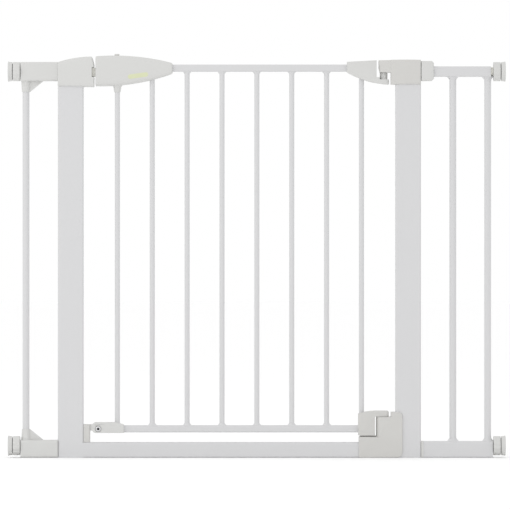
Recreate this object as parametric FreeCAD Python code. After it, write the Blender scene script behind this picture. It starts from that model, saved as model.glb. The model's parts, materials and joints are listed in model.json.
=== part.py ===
import FreeCAD, Part
import math
import os

# Safety gate that is held by pressure between two walls: a steel U-frame with a
# door that lifts and swings on two pins, an extension on each side and four
# screw adjusters with wall cups.
# Millimetres, +Z up, the front faces -Y. The origin is on the floor, in the
# middle of the gate's width and depth.

# --- Frame, from left to right ---
LEFT_EXTENSION_WIDTH = 68.4
POST_WIDTH = 47.0
OPENING_WIDTH = 572.0
RIGHT_EXTENSION_WIDTH = 132.0
POST_DEPTH = 22.0
TUBE_WALL = 1.5
POST_CORNER = 3.0
UPPER_AXIS_Z = 708.0
LOWER_AXIS_Z = 21.5
POST_ABOVE_AXIS = 8.0
THRESHOLD_HEIGHT = 28.0

# --- Fits ---
SNUG = 0.05
RUNNING = 0.08
SLIDING = 0.25
MARGIN = 1.0
PARALLEL_COSINE = 0.999

# --- Adjusters ---
SPINDLE_RADIUS = 5.0
SPINDLE_INSIDE = 48.0
NUT_LENGTH = 20.0
NUT_NECK_RADIUS = 8.6
NUT_NECK_TAPER = 1.0
KNOB_GAP = 1.1
KNOB_RADIUS = 17.75
KNOB_THICKNESS = 13.0
KNOB_CHAMFER = 0.9
KNOB_FLUTES = 12
KNOB_FLUTE_RADIUS = 3.2
KNOB_FLUTE_DEPTH = 0.9
BUMPER_RADIUS = 13.75
BUMPER_PROUD = 1.2
BUMPER_FLOOR = 2.0
CUP_RADIUS = 18.5
CUP_BORE_RADIUS = 14.2
CUP_THICKNESS = 8.0
CUP_FLOOR = 2.5
CUP_ROUND = 1.6
CUP_SCREW_HOLE_RADIUS = 2.25

# --- Extensions ---
SLEEVE_HEIGHT = 34.8
SLEEVE_DEPTH = 26.0
SLEEVE_ROUND = 4.0
LOWER_SLEEVE_HEIGHT = 32.0
CHANNEL_SIZE = 16.0
EXTENSION_BAR_DIAMETER = 12.7
EXTENSION_BAR_WALL = 1.0
LEFT_BAR_INSET = 9.6
SOCKET_RADIUS = 8.6
SOCKET_TIP_RADIUS = 7.5
SOCKET_LENGTH = 20.0
GUSSET_REACH = 32.0
GUSSET_THICKNESS = 6.0
TOP_TUBE_SIZE = 19.0
TOP_TUBE_SHORTFALL = 3.6
BOTTOM_TUBE_HEIGHT = 30.0
BOTTOM_TUBE_DEPTH = 20.0
EXTENSION_TUBE_CORNER = 2.5
RIGHT_BAR_INSETS = (73.3, 9.3)
TOP_COLLAR_LENGTH = 23.2
TOP_COLLAR_HEIGHT = 36.4
TOP_COLLAR_DEPTH = 28.0
TOP_COLLAR_CHAMFER = 3.7
TOP_COLLAR_RAISE = 1.0
BOTTOM_COLLAR_LENGTH = 4.2
COLLAR_GAP = 0.5
SPIGOT_IN_POST = 12.0
SPIGOT_IN_EXTENSION = 16.0

# --- Door ---
BAR_COUNT = 8
BAR_DIAMETER = 9.5
BAR_WALL = 1.0
BAR_END_GAP = 62.0
DOOR_RAIL_SIZE = 13.2
DOOR_RAIL_WALL = 1.2
DOOR_RAIL_CORNER = 2.5
TOP_RAIL_ABOVE_AXIS = 6.3
BOTTOM_RAIL_Z = 52.5
LIFT_TRAVEL = 8.0

# --- Handle and latch ---
HANDLE_GAP = 22.2
HANDLE_LENGTH = 141.1
HANDLE_DEPTH = 30.0
HANDLE_ROUND = 5.0
HANDLE_UP_AT_LATCH = 21.8
HANDLE_DOWN_AT_LATCH = 33.1
HANDLE_TIP_WALL_ABOVE = 2.5
HANDLE_TIP_WALL_BELOW = 3.5
HANDLE_TOP_BULGE = 5.9
HANDLE_BOTTOM_BULGE = 6.8
SHELL_WALL = 2.5
RIB_SINK = 1.0
GUIDE_REACH = 16.0
BULKHEAD_REACH_DOWN = 12.0
BULKHEAD_REACH_UP = 22.0
HANDLE_SOCKET_DROP = 11.0
HANDLE_SOCKET_RADIUS = 7.4
HANDLE_SOCKET_TIP_RADIUS = 5.9
BAR_IN_HANDLE = 9.0
BULKHEAD_OFFSET = 69.6
BULKHEAD_THICKNESS = 3.0
GUIDE_OFFSET = 25.0
BOLT_HEIGHT = 16.0
BOLT_DEPTH = 18.0
BOLT_BELOW_RAIL = 7.5
BOLT_ENGAGEMENT = 9.0
BOLT_TAIL = 49.6
BOLT_TRAVEL = 10.0
BOLT_NOSE_CHAMFER = 2.0
BUTTON_OFFSET = 39.1
BUTTON_LENGTH = 9.0
BUTTON_WIDTH = 12.0
BUTTON_PROUD = 4.2
BUTTON_PLATE_LENGTH = 23.0
BUTTON_PLATE_THICKNESS = 2.0
BUTTON_PLATE_DROP = 0.8
BUTTON_PLATE_LIP = 2.0
BUTTON_STEM = 6.0
BUTTON_STEM_DEPTH = 6.0
BUTTON_ROUND = 1.5
SPRING_RADIUS = 4.0
SPRING_WIRE = 0.5
SPRING_TURNS = 6.0
LATCH_HOUSING_OVERHANG = 19.3
LATCH_HOUSING_WALL = 4.0
LATCH_HOUSING_BELOW_AXIS = 27.0
LATCH_HOUSING_DROOP = 1.5
LATCH_LEFT_ABOVE_AXIS = 17.4
LATCH_RIGHT_ABOVE_AXIS = 27.5
LATCH_TOP_BULGE = 2.6
LATCH_CHAMFER_RUN = 3.4
LATCH_CHAMFER_DROP = 13.7
LATCH_NOTCH_DEPTH = 4.0
LATCH_NOTCH_GAP = 1.0
BOLT_END_GAP = 2.0
COVER_ROUND = 3.0

# --- Lower latch ---
KEEPER_LENGTH = 12.0
KEEPER_DEPTH = 20.0
KEEPER_TOP_Z = 60.8
KEEPER_FLOOR_Z = 53.2
KEEPER_END_WALL = 3.6
KEEPER_ROUND = 1.5
TONGUE_BOTTOM_Z = 49.4
TONGUE_TIP_BOTTOM_Z = 54.0
TONGUE_TOP_Z = 60.8
TONGUE_THICKNESS = 7.0
TONGUE_WEB_DEPTH = 18.0
KEEPER_GAP = 0.4
TONGUE_SIDE_CLEARANCE = 0.8
TONGUE_GAP = 5.8
LATCH_CAP_GAP = 15.9
LATCH_CAP_LENGTH = 58.0
LATCH_CAP_DEPTH = 22.0
LATCH_CAP_WALL_BELOW = 1.0
LATCH_CAP_WALL_ABOVE = 5.5
LATCH_CAP_ROUND = 6.5
LATCH_CAP_TAPER_LENGTH = 13.7
LATCH_CAP_TAPER_DROP = 4.5
LATCH_CAP_WALL = 5.0
LATCH_SCREW_INSET = 11.2
LATCH_SCREW_RADIUS = 3.0
LATCH_SCREW_HEAD_RADIUS = 5.0
LATCH_SCREW_HEAD_HEIGHT = 1.4
LATCH_SCREW_SOCKET_RADIUS = 2.2
LATCH_SCREW_SOCKET_DEPTH = 2.4
LATCH_SCREW_END_GAP = 2.0

# --- Hinges ---
HINGE_INSET = 21.3
PIN_RADIUS = 4.0
PIN_HEAD_RADIUS = 5.5
PIN_HEAD_HEIGHT = 2.0
HINGE_SWEEP_RADIUS = 12.5
HINGE_DEPTH = 24.0
HINGE_COVER_WALL = 3.0
HINGE_COVER_TOP = 15.0
HINGE_COVER_CROWN = 0.4
HINGE_COVER_BELOW_RAIL = 30.1
HINGE_LUG_BELOW_RAIL = 8.1
HINGE_LUG_REACH = 9.2
HINGE_LUG_SLANT = 2.2
HINGE_FRAME_GAP = 13.0
DOOR_HINGE_INSET = 26.7
DOOR_HINGE_FACE = 13.0
DOOR_HINGE_LUG_END = 9.7
DOOR_HINGE_UP_LEFT = 11.3
DOOR_HINGE_UP_RIGHT = 14.2
DOOR_HINGE_DOWN_LEFT = 7.5
DOOR_HINGE_DOWN_RIGHT = 29.9
DOOR_HINGE_BULGE = 5.1
DOOR_LUG_TOP = 16.7
DOOR_LUG_SHOULDER = 20.9
DOOR_SHOULDER_END = 7.2
HINGE_BOSS_RADIUS = 6.95
HINGE_BOSS_TOP = 8.6
HINGE_BOSS_SINK = 2.0
HINGE_COUNTERBORE_RADIUS = 7.3
HINGE_COUNTERBORE_SPARE = 1.0
UPPER_PIN_BOTTOM = 24.0
LOWER_BLOCK_LEFT = 45.8
LOWER_BLOCK_STEP_Z = 37.9
LOWER_BOSS_RADIUS = 15.6
LOWER_BOSS_REACH = 13.8
LOWER_BOSS_TOP_Z = 74.5
LOWER_UPRIGHT_TOP_Z = 83.6
LOWER_UPRIGHT_GAP = 13.1
LOWER_CHEEK_ON_POST = 13.1
LOWER_BLOCK_WALL = 3.0
LOWER_BLOCK_ROUND = 2.0
REST_RIB_DEPTH = 10.0
REST_RIB_GAP = 0.4
LOWER_CHEEK_TOP_ROUND = 8.0
LOWER_CHEEK_BOTTOM_ROUND = 10.0
DOOR_BLOCK_BOTTOM_Z = 40.3
DOOR_BLOCK_FACE = 16.1
DOOR_BLOCK_TOP_Z = 85.8
DOOR_BLOCK_LEFT_DROP = 5.4
DOOR_BLOCK_SIDE_WALL = 1.4
DOOR_LIP_BOTTOM_Z = 75.0
DOOR_LIP_END = 9.1
DOOR_LIP_ROUND = 3.0
DOOR_BLOCK_TOP_BULGE = 1.0
BUSH_RADIUS = 7.0
BUSH_BOTTOM_Z = 45.0
BUSH_FLANGE_RADIUS = 9.0
BUSH_FLANGE_HEIGHT = 1.7
BUSH_TOP_Z = 74.9
LOWER_PIN_BOTTOM_Z = 49.0
PIN_FLAT = 3.2

# --- Cover screws ---
SCREW_RADIUS = 1.6
SCREW_HEAD_RADIUS = 3.2
SCREW_HEAD_HEIGHT = 2.2
SCREW_HEAD_RECESS = 0.4
SCREW_TIP_GAP = 2.5
SCREW_BOSS_RADIUS = 3.6
COVER_SCREW_INSET = 25.0
COVER_SCREW_ABOVE_POST = 6.0
COVER_SCREW_BELOW_AXIS = 16.0
HANDLE_SCREW_OFFSETS = ((11.6, 9.2), (11.6, -25.0), (85.0, -16.0))

# --- Places worked out from the sizes above ---
FRAME_WIDTH = LEFT_EXTENSION_WIDTH + OPENING_WIDTH + 2 * POST_WIDTH + RIGHT_EXTENSION_WIDTH
FRAME_END_X = FRAME_WIDTH / 2
LEFT_POST_X0 = LEFT_EXTENSION_WIDTH - FRAME_END_X
LEFT_POST_X1 = LEFT_POST_X0 + POST_WIDTH
RIGHT_POST_X0 = LEFT_POST_X1 + OPENING_WIDTH
RIGHT_POST_X1 = RIGHT_POST_X0 + POST_WIDTH
HINGE_X = RIGHT_POST_X0 - HINGE_INSET
LATCH_HOUSING_DEPTH = POST_DEPTH + 2 * LATCH_HOUSING_WALL
HINGE_COVER_DEPTH = POST_DEPTH + 2 * HINGE_COVER_WALL
LOWER_BLOCK_DEPTH = POST_DEPTH + 2 * LOWER_BLOCK_WALL
TOP_RAIL_Z = UPPER_AXIS_Z + TOP_RAIL_ABOVE_AXIS
POST_TOP_Z = UPPER_AXIS_Z + POST_ABOVE_AXIS
BAR_RADIUS = BAR_DIAMETER / 2
BAR_PITCH = (OPENING_WIDTH - 2 * BAR_END_GAP) / (BAR_COUNT - 1)
FIRST_BAR_X = LEFT_POST_X1 + BAR_END_GAP
BAR_PLACES = [FIRST_BAR_X + number * BAR_PITCH for number in range(BAR_COUNT)]
LAST_BAR_X = BAR_PLACES[-1]
HALF_RAIL = DOOR_RAIL_SIZE / 2
HANDLE_UP_AT_TIP = HALF_RAIL + HANDLE_TIP_WALL_ABOVE
HANDLE_DOWN_AT_TIP = HALF_RAIL + HANDLE_TIP_WALL_BELOW
HANDLE_X0 = LEFT_POST_X1 + HANDLE_GAP
HANDLE_X1 = HANDLE_X0 + HANDLE_LENGTH
BULKHEAD_X = HANDLE_X0 + BULKHEAD_OFFSET
TOP_RAIL_X0 = BULKHEAD_X + BULKHEAD_THICKNESS
LATCH_FACE_X = LEFT_POST_X1 + LATCH_HOUSING_OVERHANG
BOLT_Z = TOP_RAIL_Z - BOLT_BELOW_RAIL
BOLT_TIP_X = LATCH_FACE_X - BOLT_ENGAGEMENT
BOLT_TAIL_X = HANDLE_X0 + BOLT_TAIL
DOOR_HINGE_X0 = LAST_BAR_X - DOOR_HINGE_INSET
LATCH_CAP_X0 = LEFT_POST_X1 + LATCH_CAP_GAP
SPINDLE_CORNERS = (("left_top", -1, UPPER_AXIS_Z), ("left_bottom", -1, LOWER_AXIS_Z),
                   ("right_top", 1, UPPER_AXIS_Z), ("right_bottom", 1, LOWER_AXIS_Z))
HANDLE_SCREWS = tuple((HANDLE_X0 + along, TOP_RAIL_Z + up) for along, up in HANDLE_SCREW_OFFSETS)
COVER_SCREW_HEIGHTS = (POST_TOP_Z + COVER_SCREW_ABOVE_POST, UPPER_AXIS_Z - COVER_SCREW_BELOW_AXIS)
LATCH_SCREWS = tuple((LEFT_POST_X0 + COVER_SCREW_INSET, z) for z in COVER_SCREW_HEIGHTS)
HINGE_SCREWS = tuple((RIGHT_POST_X1 - COVER_SCREW_INSET, z) for z in COVER_SCREW_HEIGHTS)
QUARTER_ARC_BULGE = 1 - math.sqrt(0.5)

X_AXIS = FreeCAD.Vector(1, 0, 0)
Y_AXIS = FreeCAD.Vector(0, 1, 0)
Z_AXIS = FreeCAD.Vector(0, 0, 1)


# --- Shapes used by several pieces ---
def block(x_range, y_range, z_range):
    """Box between two corners."""
    (x0, x1), (y0, y1), (z0, z1) = x_range, y_range, z_range
    return Part.makeBox(x1 - x0, y1 - y0, z1 - z0, FreeCAD.Vector(x0, y0, z0))


def middle_block(x_range, depth, z_range):
    """Box centred on the gate's middle plane."""
    return block(x_range, (-depth / 2, depth / 2), z_range)


def rod(radius, start, end):
    """Round bar from one point to another."""
    run = end.sub(start)
    return Part.makeCylinder(radius, run.Length, start, run)


def rod_x(radius, x0, x1, z):
    """Round bar along X on the middle plane."""
    return rod(radius, FreeCAD.Vector(x0, 0, z), FreeCAD.Vector(x1, 0, z))


def rod_y(radius, y0, y1, x, z):
    """Round bar along Y."""
    return rod(radius, FreeCAD.Vector(x, y0, z), FreeCAD.Vector(x, y1, z))


def rod_z(radius, z0, z1, x):
    """Upright round bar on the middle plane."""
    return rod(radius, FreeCAD.Vector(x, 0, z0), FreeCAD.Vector(x, 0, z1))


def taper(radius_start, radius_end, start, end):
    """Round cone from one point to another."""
    run = end.sub(start)
    return Part.makeCone(radius_start, radius_end, run.Length, start, run)


def outline(corners):
    """Closed wire in the XZ plane, counter-clockwise.

    Each corner is (x, z, bulge), and the bulge bows the edge that follows it outwards.
    """
    edges = []
    for here, following in zip(corners, corners[1:] + corners[:1]):
        start = FreeCAD.Vector(here[0], 0, here[1])
        end = FreeCAD.Vector(following[0], 0, following[1])
        if here[2] == 0:
            edges.append(Part.makeLine(start, end))
            continue
        chord = end.sub(start)
        outwards = FreeCAD.Vector(chord.z, 0, -chord.x).normalize()
        middle = (start + end) * 0.5 + outwards * here[2]
        edges.append(Part.Arc(start, middle, end).toShape())
    return Part.Wire(edges)


def slab(corners, depth, rounding=0.0):
    """Plate of an outline, centred on the middle plane, with its rims rounded."""
    half = depth / 2
    face = Part.Face(outline(corners))
    face.translate(FreeCAD.Vector(0, -half, 0))
    plate = face.extrude(FreeCAD.Vector(0, depth, 0))
    if rounding == 0:
        return plate
    rims = [edge for edge in plate.Edges
            if all(abs(abs(corner.Y) - half) < SNUG for corner in edge.Vertexes)
            and abs(abs(edge.CenterOfMass.y) - half) < SNUG]
    return plate.makeFillet(rounding, rims)


def edges_along(solid, direction):
    """Straight edges that run one way."""
    found = []
    for edge in solid.Edges:
        if len(edge.Vertexes) != 2:
            continue
        run = edge.Vertexes[1].Point.sub(edge.Vertexes[0].Point)
        if run.Length > 0 and abs(run.normalize().dot(direction)) > PARALLEL_COSINE:
            found.append(edge)
    return found


def rounded_bar(x_range, y_range, z_range, direction, radius):
    """Solid bar of rectangular section with rounded long edges."""
    bar = block(x_range, y_range, z_range)
    return bar.makeFillet(radius, edges_along(bar, direction))


def round_tube(diameter, wall, z0, z1, x):
    """Upright round tube."""
    return rod_z(diameter / 2, z0, z1, x).cut(rod_z(diameter / 2 - wall, z0, z1, x))


def tube_x(x_range, depth, z_range, wall, corner):
    """Rectangular tube along X."""
    z0, z1 = z_range
    outside = rounded_bar(x_range, (-depth / 2, depth / 2), z_range, X_AXIS, corner)
    inside = middle_block(x_range, depth - 2 * wall, (z0 + wall, z1 - wall))
    return outside.cut(inside)


def post_tube(x0):
    """Upright of the U-frame, open at the top, where the cover closes it."""
    x1 = x0 + POST_WIDTH
    half = POST_DEPTH / 2
    outside = rounded_bar((x0, x1), (-half, half), (0, POST_TOP_Z), Z_AXIS, POST_CORNER)
    inside = middle_block((x0 + TUBE_WALL, x1 - TUBE_WALL), POST_DEPTH - 2 * TUBE_WALL,
                          (TUBE_WALL, POST_TOP_Z))
    return outside.cut(inside)


def cover_screw(x, z, depth):
    """Screw put in from the back, with its head sunk in the rear shell."""
    head_y = depth / 2 - SCREW_HEAD_RECESS
    head = rod_y(SCREW_HEAD_RADIUS, head_y - SCREW_HEAD_HEIGHT, head_y, x, z)
    shank = rod_y(SCREW_RADIUS, SCREW_TIP_GAP - depth / 2, head_y - SCREW_HEAD_HEIGHT, x, z)
    return head.fuse(shank)


def cover_screw_hole(x, z, depth):
    """Room for a cover screw and its head."""
    head_y = depth / 2 - SCREW_HEAD_RECESS - SCREW_HEAD_HEIGHT
    head = rod_y(SCREW_HEAD_RADIUS + SNUG, head_y, depth, x, z)
    shank = rod_y(SCREW_RADIUS + SNUG, SCREW_TIP_GAP - depth / 2, head_y, x, z)
    return head.fuse(shank)


def front_and_rear(shell):
    """The front and rear mouldings of a shell that is split on the middle plane."""
    reach = shell.BoundBox
    x_range = (reach.XMin - MARGIN, reach.XMax + MARGIN)
    z_range = (reach.ZMin - MARGIN, reach.ZMax + MARGIN)
    front = shell.common(block(x_range, (reach.YMin - MARGIN, 0), z_range))
    rear = shell.common(block(x_range, (0, reach.YMax + MARGIN), z_range))
    return front, rear


# --- Adjusters ---
def knob(side, axis_z):
    """Hand wheel fixed on the spindle."""
    inner_x = side * (FRAME_END_X + KNOB_GAP)
    outer_x = inner_x + side * KNOB_THICKNESS
    wheel = rod_x(KNOB_RADIUS, inner_x, outer_x, axis_z)
    rims = [edge for edge in wheel.Edges if edge.Length > KNOB_RADIUS and edge.Closed]
    wheel = wheel.makeChamfer(KNOB_CHAMFER, rims)
    flute_distance = KNOB_RADIUS + KNOB_FLUTE_RADIUS - KNOB_FLUTE_DEPTH
    for number in range(KNOB_FLUTES):
        angle = 2 * math.pi * (number + 0.5) / KNOB_FLUTES
        offset = FreeCAD.Vector(0, math.cos(angle), math.sin(angle)) * flute_distance
        flute = rod_x(KNOB_FLUTE_RADIUS, inner_x, outer_x, axis_z)
        flute.translate(offset)
        wheel = wheel.cut(flute)
    return wheel.cut(rod_x(SPINDLE_RADIUS + SNUG, inner_x, outer_x, axis_z))


def adjuster(name, side, axis_z):
    """Spindle, knob, bumper and wall cup of one corner."""
    knob_outer = FRAME_END_X + KNOB_GAP + KNOB_THICKNESS
    bumper_inner = knob_outer + RUNNING
    cup_inner = knob_outer + BUMPER_PROUD
    cup_outer = cup_inner + CUP_THICKNESS
    bumper_outer = cup_outer - CUP_FLOOR
    spindle_end = bumper_outer - BUMPER_FLOOR
    pocket = rod_x(SPINDLE_RADIUS + RUNNING, side * bumper_inner,
                   side * (spindle_end + RUNNING), axis_z)
    bumper = rod_x(BUMPER_RADIUS, side * bumper_inner, side * bumper_outer, axis_z).cut(pocket)
    cup = rod_x(CUP_RADIUS, side * cup_inner, side * cup_outer, axis_z)
    cup = cup.makeFillet(CUP_ROUND, [edge for edge in cup.Edges
                                     if edge.Closed and edge.Length > CUP_RADIUS])
    cup = cup.cut(rod_x(CUP_BORE_RADIUS, side * cup_inner, side * bumper_outer, axis_z))
    cup = cup.cut(rod_x(CUP_SCREW_HOLE_RADIUS, side * bumper_outer, side * cup_outer, axis_z))
    return {
        "spindle_" + name: rod_x(SPINDLE_RADIUS, side * (FRAME_END_X - SPINDLE_INSIDE),
                                 side * spindle_end, axis_z),
        "tension_knob_" + name: knob(side, axis_z),
        "rubber_bumper_" + name: bumper,
        "wall_cup_" + name: cup,
    }


def spindle_nut(side, end_x, depth, z_range, axis_z):
    """Threaded plug in the end of an extension, with a short neck towards the knob."""
    inner_x = side * (end_x - NUT_LENGTH)
    x_range = sorted((inner_x, side * end_x))
    plug = middle_block(x_range, depth - 2 * SNUG, (z_range[0] + SNUG, z_range[1] - SNUG))
    neck_end = side * (FRAME_END_X + KNOB_GAP - RUNNING)
    neck = taper(NUT_NECK_RADIUS, NUT_NECK_RADIUS - NUT_NECK_TAPER,
                 FreeCAD.Vector(side * end_x, 0, axis_z), FreeCAD.Vector(neck_end, 0, axis_z))
    return plug.fuse(neck).cut(rod_x(SPINDLE_RADIUS + RUNNING, inner_x, neck_end, axis_z))


def channel_z(axis_z):
    """Height of the square channel along a sleeve's axis."""
    return axis_z - CHANNEL_SIZE / 2, axis_z + CHANNEL_SIZE / 2


def bottom_tube_inside():
    """Height of the hollow of the right extension's lower tube."""
    return TUBE_WALL, BOTTOM_TUBE_HEIGHT - TUBE_WALL


def spindle_nuts():
    """The four threaded plugs."""
    tube_inside = TOP_TUBE_SIZE - 2 * TUBE_WALL
    tube_z = (UPPER_AXIS_Z - tube_inside / 2, UPPER_AXIS_Z + tube_inside / 2)
    return Part.makeCompound([
        spindle_nut(-1, FRAME_END_X, CHANNEL_SIZE, channel_z(UPPER_AXIS_Z), UPPER_AXIS_Z),
        spindle_nut(-1, FRAME_END_X, CHANNEL_SIZE, channel_z(LOWER_AXIS_Z), LOWER_AXIS_Z),
        spindle_nut(1, FRAME_END_X - TOP_TUBE_SHORTFALL, tube_inside, tube_z, UPPER_AXIS_Z),
        spindle_nut(1, FRAME_END_X, BOTTOM_TUBE_DEPTH - 2 * TUBE_WALL, bottom_tube_inside(),
                    LOWER_AXIS_Z),
    ])


# --- Left extension ---
def sleeve(z_range, axis_z, bar_side):
    """Moulded sleeve with a socket for the bar above it (1) or below it (-1)."""
    x0 = -FRAME_END_X
    x1 = LEFT_POST_X0
    half = SLEEVE_DEPTH / 2
    body = rounded_bar((x0, x1), (-half, half), z_range, X_AXIS, SLEEVE_ROUND)
    bar_x = x0 + LEFT_BAR_INSET
    root_z = z_range[1] if bar_side > 0 else z_range[0]
    tip_z = root_z + bar_side * SOCKET_LENGTH
    buried_z = root_z - bar_side * SLEEVE_ROUND
    socket = taper(SOCKET_RADIUS, SOCKET_TIP_RADIUS, FreeCAD.Vector(bar_x, 0, root_z),
                   FreeCAD.Vector(bar_x, 0, tip_z))
    socket = socket.fuse(rod_z(SOCKET_RADIUS, buried_z, root_z, bar_x))
    corners = [(bar_x, buried_z, 0), (bar_x + GUSSET_REACH, buried_z, 0),
               (bar_x + GUSSET_REACH, root_z, 0), (bar_x + SOCKET_TIP_RADIUS, tip_z, 0),
               (bar_x, tip_z, 0)]
    gusset = slab(corners if bar_side > 0 else corners[::-1], GUSSET_THICKNESS)
    body = body.fuse([socket, gusset])
    body = body.cut(middle_block((x0, x1), CHANNEL_SIZE, channel_z(axis_z)))
    return body.cut(rod_z(EXTENSION_BAR_DIAMETER / 2 + SNUG, buried_z, tip_z, bar_x))


def extension_bar(z0, z1, x):
    """Upright bar of an extension."""
    return round_tube(EXTENSION_BAR_DIAMETER, EXTENSION_BAR_WALL, z0, z1, x)


def upper_sleeve_z():
    """Height of the left extension's upper sleeve."""
    return UPPER_AXIS_Z - SLEEVE_HEIGHT / 2, UPPER_AXIS_Z + SLEEVE_HEIGHT / 2


def left_extension():
    """Two sleeves and the bar between them."""
    z_top = upper_sleeve_z()
    bar_x = LEFT_BAR_INSET - FRAME_END_X
    return {
        "left_extension_top_sleeve": sleeve(z_top, UPPER_AXIS_Z, -1),
        "left_extension_bottom_sleeve": sleeve((0, LOWER_SLEEVE_HEIGHT), LOWER_AXIS_Z, 1),
        "left_extension_bar": extension_bar(LOWER_SLEEVE_HEIGHT, z_top[0], bar_x),
    }


# --- Right extension ---
def right_extension():
    """Welded extension: two tubes, two bars and the collars that meet the post."""
    start_x = RIGHT_POST_X1 + COLLAR_GAP
    top_z = (UPPER_AXIS_Z - TOP_TUBE_SIZE / 2, UPPER_AXIS_Z + TOP_TUBE_SIZE / 2)
    top_tube = tube_x((start_x, FRAME_END_X - TOP_TUBE_SHORTFALL), TOP_TUBE_SIZE, top_z,
                      TUBE_WALL, EXTENSION_TUBE_CORNER)
    bottom_x0 = start_x + BOTTOM_COLLAR_LENGTH
    bottom_tube = tube_x((bottom_x0, FRAME_END_X), BOTTOM_TUBE_DEPTH, (0, BOTTOM_TUBE_HEIGHT),
                         TUBE_WALL, EXTENSION_TUBE_CORNER)
    collar_x1 = start_x + TOP_COLLAR_LENGTH
    collar_middle = UPPER_AXIS_Z + TOP_COLLAR_RAISE
    collar_z = (collar_middle - TOP_COLLAR_HEIGHT / 2, collar_middle + TOP_COLLAR_HEIGHT / 2)
    top_collar = slab([(start_x, collar_z[0], 0), (collar_x1 - TOP_COLLAR_CHAMFER, collar_z[0], 0),
                       (collar_x1, collar_z[0] + TOP_COLLAR_CHAMFER, 0),
                       (collar_x1, collar_z[1] - TOP_COLLAR_CHAMFER, 0),
                       (collar_x1 - TOP_COLLAR_CHAMFER, collar_z[1], 0), (start_x, collar_z[1], 0)],
                      TOP_COLLAR_DEPTH, COVER_ROUND)
    top_collar = top_collar.cut(middle_block((start_x, collar_x1), TOP_TUBE_SIZE + 2 * SNUG,
                                             (top_z[0] - SNUG, top_z[1] + SNUG)))
    bottom_collar = rounded_bar((start_x, bottom_x0), (-POST_DEPTH / 2, POST_DEPTH / 2),
                                (0, BOTTOM_TUBE_HEIGHT), X_AXIS, POST_CORNER)
    bottom_collar = bottom_collar.cut(spigots(grown=2 * SNUG))
    pieces = {
        "right_extension_top_tube": top_tube,
        "right_extension_bottom_tube": bottom_tube,
        "right_extension_top_collar": top_collar,
        "right_extension_bottom_collar": bottom_collar,
    }
    for place, inset in zip(("inner", "outer"), RIGHT_BAR_INSETS):
        pieces["right_extension_bar_" + place] = extension_bar(
            BOTTOM_TUBE_HEIGHT, top_z[0], FRAME_END_X - inset)
    return pieces


def spigot(post_side_x, side, depth, z_range, grown=0.0):
    """Peg that joins an extension to the side of its post."""
    x_range = sorted((post_side_x - side * SPIGOT_IN_POST, post_side_x + side * SPIGOT_IN_EXTENSION))
    room = 2 * SNUG - 2 * grown
    return middle_block(x_range, depth - room, (z_range[0] + room / 2, z_range[1] - room / 2))


def spigots(grown=0.0):
    """The four pegs, or the holes for them when grown."""
    tube_inside = TOP_TUBE_SIZE - 2 * TUBE_WALL
    tube_z = (UPPER_AXIS_Z - tube_inside / 2, UPPER_AXIS_Z + tube_inside / 2)
    return [
        spigot(LEFT_POST_X0, -1, CHANNEL_SIZE, channel_z(UPPER_AXIS_Z), grown),
        spigot(LEFT_POST_X0, -1, CHANNEL_SIZE, channel_z(LOWER_AXIS_Z), grown),
        spigot(RIGHT_POST_X1, 1, tube_inside, tube_z, grown),
        spigot(RIGHT_POST_X1, 1, BOTTOM_TUBE_DEPTH - 2 * TUBE_WALL, bottom_tube_inside(), grown),
    ]


# --- U-frame ---
def frame_steel():
    """Two posts and the threshold rail between them."""
    holes = spigots(grown=2 * SNUG)
    for x, z in LATCH_SCREWS + HINGE_SCREWS:
        holes.append(rod_y(SCREW_RADIUS + SLIDING, -POST_DEPTH, POST_DEPTH, x, z))
    rail = tube_x((LEFT_POST_X1, RIGHT_POST_X0), POST_DEPTH, (0, THRESHOLD_HEIGHT), TUBE_WALL,
                  POST_CORNER)
    return {
        "left_post": post_tube(LEFT_POST_X0).cut(holes),
        "right_post": post_tube(RIGHT_POST_X0).cut(holes),
        "threshold_rail": rail,
    }


def latch_slot():
    """Slot that takes the bolt, tall enough for the bolt to rise with the door."""
    half_bolt = BOLT_HEIGHT / 2
    return middle_block((BOLT_TIP_X - BOLT_END_GAP, LATCH_FACE_X + MARGIN), BOLT_DEPTH + 4 * SLIDING,
                        (BOLT_Z - half_bolt - 2 * SLIDING,
                         BOLT_Z + half_bolt + LIFT_TRAVEL + 2 * SLIDING))


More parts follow.
